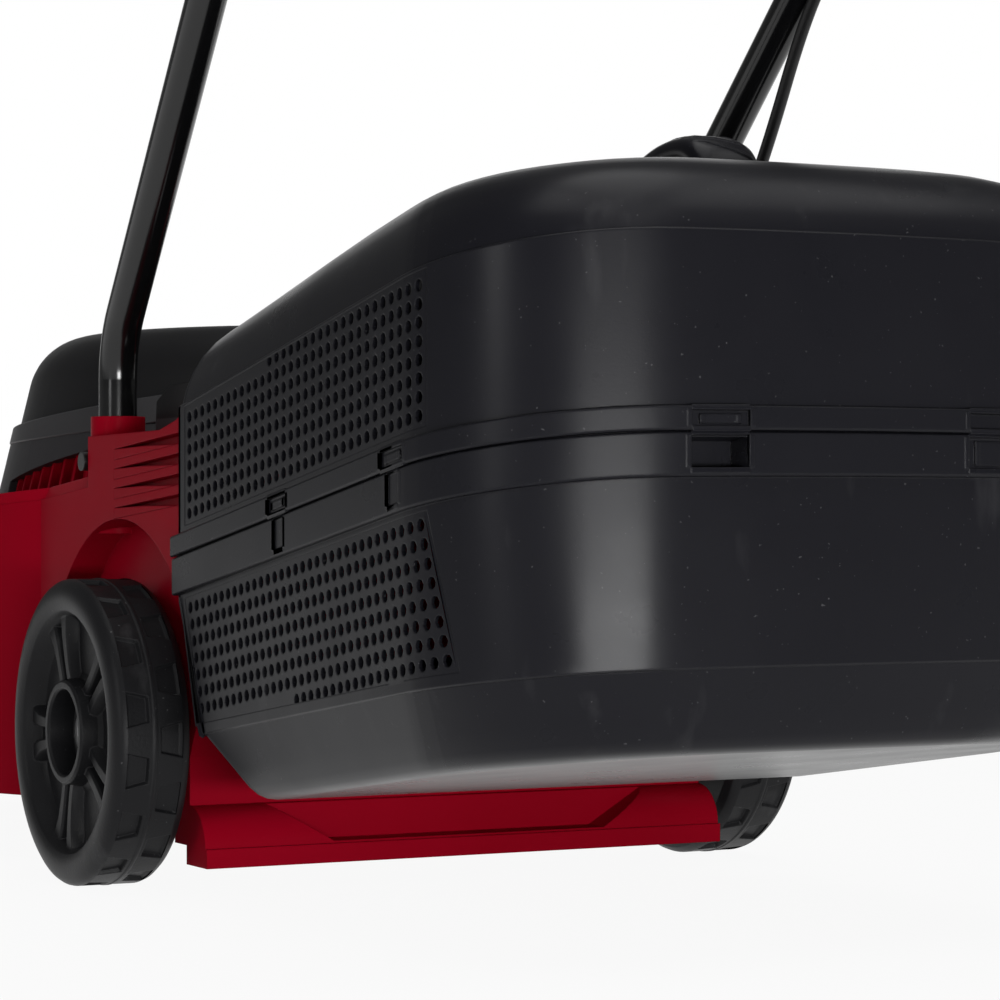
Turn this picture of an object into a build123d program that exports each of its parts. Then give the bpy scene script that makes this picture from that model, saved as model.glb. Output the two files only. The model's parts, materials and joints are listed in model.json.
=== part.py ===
"""Corded electric rotary lawn mower with a rear grass box, as separate pieces.

Frame: +X is the mower's right, +Y is forward, +Z is up, in millimetres.
The origin lies on the ground under the middle of the rear axle.
"""

import os
from math import cos, radians, sin, sqrt, tan

from build123d import *

os.makedirs("parts", exist_ok=True)

# Running gear
WHEEL_D = 140.0
WHEEL_W = 36.4
TRACK_OVER_WHEELS = 355.5
WHEELBASE = 380.0
WHEEL_HUB_R = 24.0
WHEEL_CUP_R = 19.0
WHEEL_CUP_DEPTH = 14.0
WHEEL_RIM_R = 53.0
WHEEL_DISH = 5.0
WHEEL_ROUND = 4.0
POCKET_COUNT = 5
POCKET_DEPTH = 12.0
POCKET_IN_W = 16.0
POCKET_OUT_W = 38.0
GROOVE_COUNT = 16
GROOVE_W = 5.0
GROOVE_DEPTH = 2.6
AXLE_D = 10.0
AXLE_CAP_R = 9.0
AXLE_CAP_T = 4.0
SPACER_R = 9.0
HEIGHT_TRAVEL = 32.0

# Clearances
RUN_FIT = 0.05
PRESS_FIT = 0.02
PART_GAP = 0.4
SIDE_PLAY = 0.3

# Deck
DECK_WALL = 4.0
DECK_SKIN = 3.0
DRUM_R = 175.0
MOTOR_Y = 195.0
DECK_EDGE_Z = 32.0
DECK_TOP_Y = 51.0
DECK_TOP_Z = 187.0
DECK_TOP_SLOPE = 0.088
DECK_SHOULDER = 6.0
SHOULDER_TAPER = 30.0
SHOULDER_STEP = 1.0
WELL_GAP = 8.35
WELL_DEPTH = 17.0
TUNNEL_WALL = 7.0
TUNNEL_FRONT_Y = 36.0
ARCH_R = 97.0
DECK_REAR_Y = -84.6
CEILING_Z = 92.0
CEILING_T = 4.0
BAY_A = 106.0
BAY_B = 136.0
BAY_Y = 200.0
COLLAR_TOP_Z = 206.0
LOUVRE_COUNT = 9
LOUVRE_PITCH = 11.0
LOUVRE_T = 2.0
LOUVRE_DEPTH = 5.0
LOUVRE_Y = 171.0
LIP_Y = -64.0
LIP_LOW_Z = 11.6
LIP_TOP_Z = 20.2
SKIRT_Y = -44.0
BULGE_R = 18.0
SCOOP_LOW_X = 70.0
SCOOP_HIGH_X = 100.0
SCOOP_Y = -47.0
REAR_LOW_Z = 30.0
FLOOR_START = (30.0, 50.0)
FLOOR_STEP = (6.0, 86.0)
FLOOR_END = (-70.0, 96.0)
RAKE_LOW_Z = 60.0
RAKE_TOP_Z = 135.0
NOSE_GAP = 11.35
NOSE_Y = 432.0
NOSE_LOW_Z = 45.0
NOSE_CORNER_R = 45.0
BRACKET_LOW_Z = 28.0
BRACKET_T = 12.0
BRACKET_W = 28.0
RIB_COUNT = 4
RIB_PITCH = 9.0
RIB_SLOT = 5.0
RIB_DEPTH = 6.0
RIB_TOP_Z = 199.0
RIB_FRONT_Y = 6.0
RIB_REAR_Y = -74.0
RIB_RISE = 6.0
FIN_T = 11.0
FIN_TOP_Z = 206.5
FIN_TIP_Z = 217.0
SOCKET_R = 12.75
SOCKET_TOP_Z = 215.0
SOCKET_LOW_Z = 160.0
SOCKET_FLOOR_Z = 164.0

# Motor hood
HOOD_BASE_Z = 150.0
HOOD_A = 132.0
HOOD_B = 164.0
HOOD_TOP_Z = 264.0
HOOD_TAPER = 13.5
HOOD_ROUND = 34.0
HOOD_WALL = 3.0
HOOD_STEP = 3.0
HOOD_BAND_Z = 214.0
VENT_FRONT_Y = 222.0
VENT_REAR_Y = 119.0
VENT_TOP_Z = 205.0
VENT_SLOPE = 0.18
VENT_SILL = 4.0
HOOD_POST_R = 5.0
HOOD_POST_H = 18.0
HOOD_POST_X = 62.0
HOOD_POST_FRONT_Y = 333.0
HOOD_POST_REAR_Y = 76.0

# Motor and blade
SHAFT_R = 6.0
SHAFT_LOW_Z = 48.0
SHAFT_TOP_Z = 222.0
BEARING_R = 14.0
BEARING_T = 9.0
LOWER_BEARING_Z = 84.0
UPPER_BEARING_Z = 214.0
BASE_PLATE_R = 62.0
BASE_PLATE_T = 4.0
BASE_BOSS_R = 20.0
BASE_BOSS_H = 14.0
PILLAR_R = 4.0
PILLAR_FOOT_R = 6.0
PILLAR_PCD = 108.0
STATOR_SIDE = 92.0
STATOR_CORNER_R = 10.0
STATOR_BORE_R = 27.0
STATOR_LOW_Z = 124.0
STATOR_H = 54.0
ROTOR_GAP = 1.0
ROTOR_SLOTS = 12
ROTOR_SLOT_W = 3.0
ROTOR_SLOT_DEPTH = 9.0
FAN_R = 44.0
FAN_HUB_R = 12.0
FAN_BLADES = 9
FAN_LOW_Z = 103.0
FAN_DISC_T = 2.5
FAN_H = 15.0
COMMUTATOR_R = 14.0
COMMUTATOR_Z = 186.0
COMMUTATOR_H = 18.0
BRUSH_W = 12.0
BRUSH_L = 26.0
BRUSH_H = 22.0
TOP_BRACKET_Z = 212.0
TOP_BRACKET_T = 5.0
TOP_BOSS_R = 18.0
TOP_BOSS_H = 14.0
BLADE_TIP_GAP = 15.0
BLADE_W = 45.0
BLADE_T = 3.0
BLADE_Z = 40.0
BLADE_WING_RISE = 12.0
BLADE_WING_OUT = 10.0
BLADE_WING_L = 70.0
HUB_R = 22.0
HUB_TOP_Z = 66.0
BLADE_BOLT_R = 4.0
BLADE_BOLT_HEAD_R = 7.5
BLADE_BOLT_HEAD_H = 6.0

# Rear flap
HINGE_Y = 22.0
HINGE_Z = 197.0
HINGE_ROD_R = 3.0
HINGE_EAR_W = 16.0
HINGE_EAR_T = 10.0
HINGE_EAR_TOP = 8.0
FLAP_GAP = 5.0
FLAP_TOP_Z = 231.0
FLAP_T = 3.0
FLAP_CHEEK_Z = 204.0
FLAP_BARREL_R = 6.5
FLAP_REAR_Y = -88.5

# Grass box
BOX_X = 155.0
BOX_REAR_Y = -387.0
BOX_REAR_BULGE = 8.0
BOX_CORNER_R = 56.0
BOX_FRONT_Y = -85.0
BOX_WALL = 2.5
SEAM_Z = 150.0
SEAM_SLOPE = 0.162
UPPER_CREASE_Z = 216.0
UPPER_CREASE_SLOPE = 0.192
BAND_H = 26.0
BAND_LEAN = 30.0
CROWN_H = 7.0
CROWN_LEAN = 74.0
LOWER_CREASE_Y = -113.0
LOWER_CREASE_Z = 75.0
LOWER_CREASE_SLOPE = 0.136
KEEL_H = 30.0
CREASE_LAP = 0.8
KEEL_LEAN = 24.0
KEEL_FRONT_Y = -150.0
KEEL_FRONT_Z = 50.0
MOUTH_RAKE_Z = 131.0
MOUTH_X = 118.0
MOUTH_LOW_Z = 104.0
MOUTH_TOP_Z = 208.0
MOUTH_DEPTH = 26.0
MOUTH_CORNER_R = 10.0
FLANGE_OUT = 4.0
FLANGE_UP = 9.0
FLANGE_DOWN = 16.0
LATCH_W = 24.0
LATCH_T = 2.0
LATCH_UP = 6.0
LATCH_DOWN = 13.0
REAR_LATCH_X = (-65.0, 57.0)
SIDE_LATCH_Y = (-205.0, -303.0)
GRILLE_FRONT_Y = -92.0
GRILLE_REAR_Y = -324.0
GRILLE_SHIFT = -22.0
GRILLE_T = 2.0
GRILLE_RECESS = 0.4
GRILLE_SEAM_UP = 11.0
GRILLE_SEAM_DOWN = 24.0
GRILLE_CREASE = 5.0
GRILLE_COLUMNS = 14
GRILLE_ROWS = 4
GRILLE_HOLE = 8.0
CARRY_W = 32.0
CARRY_FRONT_Y = -178.0
CARRY_REAR_Y = -288.0
CARRY_TOP_Z = 322.0
CARRY_BAR_T = 12.0
CARRY_FOOT_L = 12.0
CARRY_ROUND = 4.0

# Handle
TUBE_R = 9.0
TUBE_WALL = 1.5
TUBE_FIT = 0.1
SOCKET_X = 135.0
SOCKET_Y = 40.0
LOWER_BEND_Z = 250.0
LOWER_BEND_R = 45.0
LEAN_DEG = 42.97
SPLAY = 0.0711
SPLAY_END_Z = 487.0
SPLAY_BEND_R = 220.0
PIVOT_Z = 545.0
TUBE_OVERLAP = 30.0
GRIP_S = 610.0
GRIP_BEND_R = 52.0
BOLT_R = 3.0
BOLT_HEAD_R = 7.0
BOLT_HEAD_T = 3.4
KNOB_HUB_R = 11.0
KNOB_LOBE_R = 6.0
KNOB_LOBES = 4
KNOB_T = 16.0
KNOB_CAP_T = 4.0
SCREW_R = 2.5
SCREW_HEAD_R = 4.5
SCREW_HEAD_T = 3.5
SCREW_L = 14.0
SCREW_Y = 46.0
SCREW_Z = 194.0

# Switch box
SWITCH_LOW_S = 435.0
SWITCH_HIGH_S = 560.0
SWITCH_IN_X = 62.0
SWITCH_OUT_X = 150.0
SWITCH_CAVITY_X = 120.0
SWITCH_DEPTH = 30.0
SWITCH_WALL = 3.0
SWITCH_ROUND = 10.0
SWITCH_TAPER = 4.0
MICRO_L = 28.0
MICRO_W = 16.0
MICRO_H = 20.0
MICRO_X = 104.0
MICRO_S = 500.0
INLET_X = 85.0
INLET_R = 18.0
INLET_L = 24.0
INLET_WALL = 3.0
INLET_SPIGOT_R = 13.0
INLET_SPIGOT_L = 10.0
INLET_FLOOR_T = 4.0
PIN_R = 2.4
PIN_SPACING = 19.0
PIN_L = 17.0
BUTTON_X = 92.0
BUTTON_S = 528.0
BUTTON_R = 7.0
BUTTON_FLANGE_R = 9.0
BUTTON_FLANGE_T = 2.5
BUTTON_PROUD = 6.0
BUTTON_L = 16.0
BAIL_R = 4.0
BAIL_PIVOT_S = 500.0
BAIL_PIVOT_DEPTH = 14.0
BAIL_ARM = 112.0
BAIL_REST_DEG = 22.5
BAIL_RIGHT_X = 46.0
BAIL_LEFT_X = -102.0
BAIL_BEND_R = 14.0
BAIL_PIN_L = 18.0
BAIL_BLOCK_IN_X = -112.0
BAIL_BLOCK_OUT_X = -150.0
BAIL_BLOCK_L = 26.0
BAIL_BLOCK_UP = 13.0
BAIL_BLOCK_DOWN = 22.0

# Motor cable
CABLE_R = 3.0
CLIP_T = 2.2
CLIP_W = 12.0
GLAND_DEG = 42.0
GLAND_Z = 205.0
GLAND_BOSS_R = 11.0
GLAND_BOSS_OUT = 8.0
GLAND_R = 7.0
GLAND_TIP_R = 4.5
GLAND_L = 24.0
GLAND_FLANGE_R = 9.5
GLAND_FLANGE_T = 3.0
CABLE_DROP = 12.4
CABLE_LEAD = 76.0
CABLE_MAX_R = 125.0
CABLE_ROUTE = ((164.0, 20.0, 238.0), (157.0, -30.0, 292.0), (148.0, -82.0, 341.0))
CABLE_ENTRY_X = 112.0
FIRST_CLIP_Z = 428.0
CLIP_LEAD = 22.0
FOLD_BELOW = 40.0
FOLD_ABOVE = 60.0
UPPER_CLIPS = (75.0, 220.0, 350.0)

# Values that follow from the sizes above
AXLE_Z = WHEEL_D / 2
WHEEL_OUT_X = TRACK_OVER_WHEELS / 2
WHEEL_IN_X = WHEEL_OUT_X - WHEEL_W
WELL_X = WHEEL_IN_X - WELL_GAP
SIDE_X = WELL_X + WELL_DEPTH
TUNNEL_X = WELL_X - TUNNEL_WALL
NOSE_X = WHEEL_IN_X - NOSE_GAP
FLAP_X = TUNNEL_X - FLAP_GAP
SIN_LEAN = sin(radians(LEAN_DEG))
COS_LEAN = cos(radians(LEAN_DEG))
PIVOT_Y = SOCKET_Y - tan(radians(LEAN_DEG)) * (PIVOT_Z - LOWER_BEND_Z)
LOWER_TUBE_X = SOCKET_X + SPLAY * (SPLAY_END_Z - LOWER_BEND_Z)
UPPER_TUBE_X = LOWER_TUBE_X - 2 * TUBE_R - PART_GAP
DECK_TOP_STRETCH = sqrt(1 + DECK_TOP_SLOPE**2)
SIDES = {"left": -1, "right": 1}
BLADE_D = 2 * (DRUM_R - BLADE_TIP_GAP)
HOOD_POSTS = [(side * HOOD_POST_X, y) for side in (-1, 1) for y in (HOOD_POST_REAR_Y, HOOD_POST_FRONT_Y)]
GLAND_SHRINK = HOOD_STEP - tan(radians(HOOD_TAPER)) * (GLAND_Z - HOOD_BASE_Z)
GLAND_A = HOOD_A + GLAND_SHRINK
GLAND_B = HOOD_B + GLAND_SHRINK
GLAND_PLANE = Plane(
    origin=(
        GLAND_A * cos(radians(GLAND_DEG)),
        BAY_Y - GLAND_B * sin(radians(GLAND_DEG)),
        GLAND_Z,
    ),
    x_dir=(0, 0, 1),
    z_dir=(cos(radians(GLAND_DEG)) / GLAND_A, -sin(radians(GLAND_DEG)) / GLAND_B, 0),
)
AXLES = {"rear": 0.0, "front": WHEELBASE}

HANDLE = Plane(origin=(0, PIVOT_Y, PIVOT_Z), x_dir=(1, 0, 0), z_dir=(0, -COS_LEAN, -SIN_LEAN))
SEAM = Plane(origin=(0, BOX_FRONT_Y, SEAM_Z), x_dir=(1, 0, 0), z_dir=(0, SEAM_SLOPE, 1))

SWITCH_END = Plane(
    origin=HANDLE.from_local_coords(Vector(0, SWITCH_LOW_S, 0)),
    x_dir=(1, 0, 0),
    z_dir=(0, SIN_LEAN, -COS_LEAN),
)
UNDER = Vector(0, -COS_LEAN, -SIN_LEAN)
BOX_GROUND = Plane(origin=(0, BOX_FRONT_Y, 0))


def on_handle(x, along, depth=0.0):
    """A point of the handle: along its slope from the fold pivot, and depth under it."""
    return HANDLE.from_local_coords(Vector(x, along, depth))


def deck_top(y):
    """Height of the deck's sloping top face."""
    return DECK_TOP_Z - DECK_TOP_SLOPE * (y - DECK_TOP_Y)


def deck_top_plane(drop=0.0):
    """The deck's top face, or a plane a given drop under it."""
    origin = (0, DECK_TOP_Y, DECK_TOP_Z - drop)
    return Plane(origin=origin, x_dir=(1, 0, 0), z_dir=(0, DECK_TOP_SLOPE, 1))


def seam_z(y):
    """Height of the grass box's seam."""
    return SEAM_Z + SEAM_SLOPE * (BOX_FRONT_Y - y)


def upper_crease_z(y):
    """Height of the crease where the grass box's upper walls start to lean in."""
    return UPPER_CREASE_Z + UPPER_CREASE_SLOPE * (BOX_FRONT_Y - y)


def lower_crease_z(y):
    """Height of the crease where the grass box's lower walls start to lean in."""
    return LOWER_CREASE_Z + LOWER_CREASE_SLOPE * (LOWER_CREASE_Y - y)


def box_top_z(y):
    """Height of the flat top of the grass box."""
    return upper_crease_z(y) + (BAND_H + CROWN_H) * sqrt(1 + UPPER_CREASE_SLOPE**2)


def lower_tube_point(side, z):
    """A point on the splayed run of a lower handle tube."""
    rise = z - LOWER_BEND_Z
    return (side * (SOCKET_X + SPLAY * rise), SOCKET_Y - tan(radians(LEAN_DEG)) * rise, z)


def side_face(*points, x=0.0):
    """A closed outline of (y, z) points in a plane across X."""
    with BuildSketch(Plane.YZ.offset(x)) as outline:
        with BuildLine():
            Polyline(*points, close=True)
        make_face()
    return outline.sketch


def tube(points, radii, radius, bore=0.0):
    """A round rod or tube along straight runs joined by tangent arcs."""
    with BuildPart() as rod:
        with BuildLine() as path:
            FilletPolyline(*points, radius=radii)
        with BuildSketch(path.line ^ 0):
            Circle(radius)
            if bore:
                Circle(bore, mode=Mode.SUBTRACT)
        sweep()
    return rod.part


def save(piece, name):
    """Label a finished piece and write it as a STEP file."""
    piece.label = name
    export_step(piece, f"parts/{name}.step")


# Deck
def deck_plan(plane, origin_y, inset=0.0):
    """Outline of the drum and the rear shoulders on a plane through origin_y."""
    body_front = MOTOR_Y - sqrt(DRUM_R**2 - SIDE_X**2)
    with BuildSketch(plane) as plan:
        with Locations((0, MOTOR_Y - origin_y)):
            Circle(DRUM_R - inset)
        with Locations((0, (body_front + DECK_REAR_Y + inset) / 2 - origin_y)):
            Rectangle(2 * (SIDE_X - inset), body_front - DECK_REAR_Y - inset)
    return plan.sketch


def deck_upper_body():
    """Drum and broad rear shoulders under one sloping top with a bevelled edge."""
    with BuildPart() as body:
        extrude(deck_plan(Plane.XY.offset(DECK_EDGE_Z), 0), amount=DECK_TOP_Z)
        split(bisect_by=deck_top_plane(DECK_SHOULDER), keep=Keep.BOTTOM)
        bevel_h = DECK_SHOULDER + SHOULDER_STEP
        bevel = deck_plan(deck_top_plane(bevel_h), DECK_TOP_Y, SHOULDER_STEP)
        extrude(bevel, amount=bevel_h / DECK_TOP_STRETCH, taper=SHOULDER_TAPER)
    return body.part


def volute_body():
    """The tall ring of space round the motor bay, under the deck's shoulder."""
    with BuildPart() as ring:
        with BuildSketch(Plane.XY.offset(DECK_EDGE_Z - 1)):
            with Locations((0, MOTOR_Y)):
                Circle(DRUM_R - DECK_WALL)
            with Locations((0, BAY_Y)):
                Ellipse(BAY_A + DECK_SKIN, BAY_B + DECK_SKIN, mode=Mode.SUBTRACT)
        extrude(amount=DECK_TOP_Z)
        split(bisect_by=deck_top_plane(DECK_SHOULDER), keep=Keep.BOTTOM)
    return ring.part


def nose_body(inset):
    """The front apron between the front wheels, or the space inside it."""
    with BuildPart() as nose:
        with BuildSketch(Plane.XY.offset(NOSE_LOW_Z - inset)) as plan:
            with Locations((0, (NOSE_Y - inset + MOTOR_Y) / 2)):
                Rectangle(2 * (NOSE_X - inset), NOSE_Y - inset - MOTOR_Y)
            fillet(plan.vertices().group_by(Axis.Y)[-1], NOSE_CORNER_R - inset)
            if inset:
                with Locations((0, MOTOR_Y)):
                    Circle(DRUM_R, mode=Mode.SUBTRACT)
        extrude(amount=DECK_TOP_Z)
        split(bisect_by=deck_top_plane(inset), keep=Keep.BOTTOM)
    return nose.part


def rib_slot(index, side):
    """One of the slanted slots between the ribs of the deck's rear side."""
    low = RIB_TOP_Z - RIB_PITCH * index - RIB_SLOT
    return side_face(
        (RIB_FRONT_Y, low),
        (RIB_FRONT_Y, low + RIB_SLOT),
        (RIB_REAR_Y, low + RIB_RISE + RIB_SLOT),
        (RIB_REAR_Y, low + RIB_RISE),
        x=side * (SIDE_X - RIB_DEPTH),
    )


skirt_profile = side_face(
    (SKIRT_Y + DECK_WALL, LIP_LOW_Z),
    (LIP_Y, LIP_LOW_Z),
    (LIP_Y, LIP_TOP_Z),
    (SKIRT_Y, LIP_TOP_Z),
    (SKIRT_Y, REAR_LOW_Z + BULGE_R),
    (SKIRT_Y + DECK_WALL, REAR_LOW_Z + BULGE_R),
)
rear_cut_profile = side_face(
    (SKIRT_Y, 0),
    (SKIRT_Y, RAKE_LOW_Z),
    (DECK_REAR_Y, RAKE_TOP_Z),
    (DECK_REAR_Y - 1, RAKE_TOP_Z),
    (DECK_REAR_Y - 1, 0),
)
under_profile = side_face(
    (MOTOR_Y - DRUM_R + SIDE_X / 3, 0),
    (MOTOR_Y - DRUM_R + SIDE_X / 3, FLOOR_START[1] - DECK_SKIN),
    (FLOOR_START[0], FLOOR_START[1] - DECK_SKIN),
    (FLOOR_STEP[0], FLOOR_STEP[1] - DECK_SKIN),
    (SKIRT_Y + 2 * DECK_WALL, FLOOR_STEP[1]),
    (SKIRT_Y + 2 * DECK_WALL, REAR_LOW_Z),
    (SKIRT_Y - 2 * DECK_WALL, LIP_TOP_Z - DECK_WALL),
    (SKIRT_Y - 2 * DECK_WALL, 0),
)
tunnel_profile = side_face(
    (MOTOR_Y - DRUM_R + SIDE_X / 3, FLOOR_START[1]),
    FLOOR_START,
    FLOOR_STEP,
    FLOOR_END,
    (DECK_REAR_Y - 1, FLOOR_END[1] + 2),
    (DECK_REAR_Y - 1, SOCKET_TOP_Z),
    (TUNNEL_FRONT_Y, SOCKET_TOP_Z),
    (TUNNEL_FRONT_Y, CEILING_Z),
    (MOTOR_Y - DRUM_R + SIDE_X / 3, CEILING_Z),
)

with BuildPart() as deck:
    add(deck_upper_body())
    # Side fins that rise to a tip beside the grass box
    for side in SIDES.values():
        fin = side_face(
            (SOCKET_Y, SOCKET_LOW_Z),
            (SOCKET_Y, FIN_TOP_Z - 1),
            (-50, FIN_TOP_Z),
            (-70, FIN_TOP_Z + 4),
            (DECK_REAR_Y, FIN_TIP_Z),
            (DECK_REAR_Y, SOCKET_LOW_Z),
            x=side * (SIDE_X - FIN_T),
        )
        extrude(fin, amount=side * FIN_T)
    # Rear wheel arches
    for side in SIDES.values():
        with BuildSketch(Plane.YZ.offset(side * WELL_X)):
            with Locations((0, AXLE_Z)):
                Circle(ARCH_R)
            with Locations((0, AXLE_Z / 2)):
                Rectangle(2 * ARCH_R, AXLE_Z)
        extrude(amount=side * (SIDE_X - WELL_X + 1), mode=Mode.SUBTRACT)
    # Raked rear end over a skirt with a rounded bulge and a lip
    extrude(rear_cut_profile, amount=SIDE_X + 1, both=True, mode=Mode.SUBTRACT)
    extrude(skirt_profile, amount=WELL_X, both=True)
    with BuildSketch(Plane.YZ.offset(-WELL_X)):
        with Locations((SKIRT_Y, LIP_TOP_Z)):
            Circle(BULGE_R)
            Rectangle(2 * BULGE_R, BULGE_R, align=(Align.CENTER, Align.MAX), mode=Mode.SUBTRACT)
    extrude(amount=2 * WELL_X)
    extrude(under_profile, amount=WELL_X - DECK_WALL, both=True, mode=Mode.SUBTRACT)
    with BuildSketch(Plane.XZ.offset(-SCOOP_Y)) as scoop:
        with BuildLine():
            Polyline(
                (-SCOOP_LOW_X, LIP_TOP_Z + 1),
                (SCOOP_LOW_X, LIP_TOP_Z + 1),
                (SCOOP_HIGH_X, LIP_TOP_Z + BULGE_R + 1),
                (-SCOOP_HIGH_X, LIP_TOP_Z + BULGE_R + 1),
                close=True,
            )
        make_face()
    extrude(amount=BULGE_R, mode=Mode.SUBTRACT)
    # Nose, hollow underneath, and the drum wall with its blade chamber
    add(nose_body(0))
    add(nose_body(DECK_SKIN), mode=Mode.SUBTRACT)
    with BuildSketch(Plane.XY.offset(DECK_EDGE_Z)):
        with Locations((0, MOTOR_Y)):
            Circle(DRUM_R)
    extrude(amount=CEILING_Z - DECK_EDGE_Z)
    with BuildSketch(Plane.XY.offset(DECK_EDGE_Z - 1)):
        with Locations((0, MOTOR_Y)):
            Circle(DRUM_R - DECK_WALL)
    extrude(amount=CEILING_Z - DECK_EDGE_Z + 1, mode=Mode.SUBTRACT)
    add(volute_body(), mode=Mode.SUBTRACT)
    # Motor bay with a collar that stands up inside the hood
    with BuildSketch(Plane.XY.offset(CEILING_Z)):
        with Locations((0, BAY_Y)):
            Ellipse(BAY_A + DECK_SKIN, BAY_B + DECK_SKIN)
    extrude(amount=COLLAR_TOP_Z - CEILING_Z)
    with BuildSketch(Plane.XY.offset(CEILING_Z + CEILING_T)):
        with Locations((0, BAY_Y)):
            Ellipse(BAY_A, BAY_B)
    extrude(amount=COLLAR_TOP_Z, mode=Mode.SUBTRACT)
    with Locations((0, MOTOR_Y, CEILING_Z + CEILING_T / 2)):
        Cylinder(BASE_BOSS_R + PART_GAP, 2 * CEILING_T, mode=Mode.SUBTRACT)
    # Upright louvres that show through the hood's side vents
    for index in range(LOUVRE_COUNT):
        louvre_y = LOUVRE_Y + LOUVRE_PITCH * (index - (LOUVRE_COUNT - 1) / 2)
        collar_x = (BAY_A + DECK_SKIN) * sqrt(1 - ((louvre_y - BAY_Y) / (BAY_B + DECK_SKIN)) ** 2)
        louvre_z = deck_top(louvre_y) - DECK_SKIN
        for side in SIDES.values():
            with Locations((side * (collar_x + LOUVRE_DEPTH / 2 - 1), louvre_y, louvre_z)):
                Box(
                    LOUVRE_DEPTH + 2,
                    LOUVRE_T,
                    COLLAR_TOP_Z - louvre_z,
                    align=(Align.CENTER, Align.CENTER, Align.MIN),
                )
    with Locations(*[(x, y, deck_top(y)) for x, y in HOOD_POSTS]):
        Cylinder(SCREW_R + PRESS_FIT, 4 * DECK_SHOULDER, mode=Mode.SUBTRACT)
    # Discharge tunnel from the drum to the grass box
    extrude(tunnel_profile, amount=TUNNEL_X, both=True, mode=Mode.SUBTRACT)
    # Ribbed rear sides
    for side in SIDES.values():
        for index in range(RIB_COUNT):
            extrude(rib_slot(index, side), amount=side * (RIB_DEPTH + 1), mode=Mode.SUBTRACT)
    # Handle sockets
    for side in SIDES.values():
        with Locations((side * SOCKET_X, SOCKET_Y, SOCKET_LOW_Z)):
            Cylinder(
                SOCKET_R,
                SOCKET_TOP_Z - SOCKET_LOW_Z,
                align=(Align.CENTER, Align.CENTER, Align.MIN),
            )
        with Locations((side * SOCKET_X, SOCKET_Y, SOCKET_FLOOR_Z)):
            Cylinder(
                TUBE_R + TUBE_FIT,
                SOCKET_TOP_Z,
                align=(Align.CENTER, Align.CENTER, Align.MIN),
                mode=Mode.SUBTRACT,
            )
        with Locations((side * SOCKET_X, SCREW_Y, SCREW_Z)):
            Cylinder(
                SCREW_R + RUN_FIT,
                SOCKET_X,
                rotation=(0, side * 90, 0),
                align=(Align.CENTER, Align.CENTER, Align.MIN),
                mode=Mode.SUBTRACT,
            )
    # Ears that hold the flap's hinge rod
    for side in SIDES.values():
        with Locations((side * (FLAP_X + PART_GAP), HINGE_Y, HINGE_Z)):
            Box(
                TUNNEL_X - FLAP_X + HINGE_EAR_T,
                HINGE_EAR_W,
                HINGE_EAR_TOP,
                align=(Align.MIN if side > 0 else Align.MAX, Align.CENTER, Align.CENTER),
            )
            Box(
                TUNNEL_X - FLAP_X + HINGE_EAR_T,
                HINGE_EAR_W,
                HINGE_Z - deck_top(HINGE_Y) + 2 * HINGE_EAR_T,
                align=(Align.MIN if side > 0 else Align.MAX, Align.CENTER, Align.MAX),
            )
    with Locations((0, HINGE_Y, HINGE_Z)):
        Cylinder(
            HINGE_ROD_R + PRESS_FIT,
            2 * TUNNEL_X + HINGE_EAR_T,
            rotation=(0, 90, 0),
            mode=Mode.SUBTRACT,
        )
    # Front axle brackets and the upright slots that both axles slide in
    for side in SIDES.values():
        with Locations((side * (NOSE_X - BRACKET_T / 2), WHEELBASE, BRACKET_LOW_Z)):
            Box(
                BRACKET_T,
                BRACKET_W,
                AXLE_Z + AXLE_D - BRACKET_LOW_Z,
                align=(Align.CENTER, Align.CENTER, Align.MIN),
            )
    for axle_y in AXLES.values():
        with BuildSketch(Plane.YZ):
            with Locations((axle_y, AXLE_Z - HEIGHT_TRAVEL / 2)):
                SlotCenterToCenter(HEIGHT_TRAVEL, AXLE_D + 2 * PART_GAP, rotation=90)
        extrude(amount=WELL_X + 1, both=True, mode=Mode.SUBTRACT)

save(deck.part, "deck")

# Motor hood
def hood_form(grow, top_z, rounding):
    """The hood's oval dome down to the deck's top face."""
    with BuildPart() as form:
        with BuildSketch(Plane.XY.offset(HOOD_BASE_Z)):
            with Locations((0, BAY_Y)):
                Ellipse(HOOD_A + grow, HOOD_B + grow)
        extrude(amount=top_z - HOOD_BASE_Z, taper=HOOD_TAPER)
        if rounding:
            fillet(form.faces().sort_by(Axis.Z)[-1].edges(), rounding)
        split(bisect_by=deck_top_plane(), keep=Keep.TOP)
    return form.part


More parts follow.
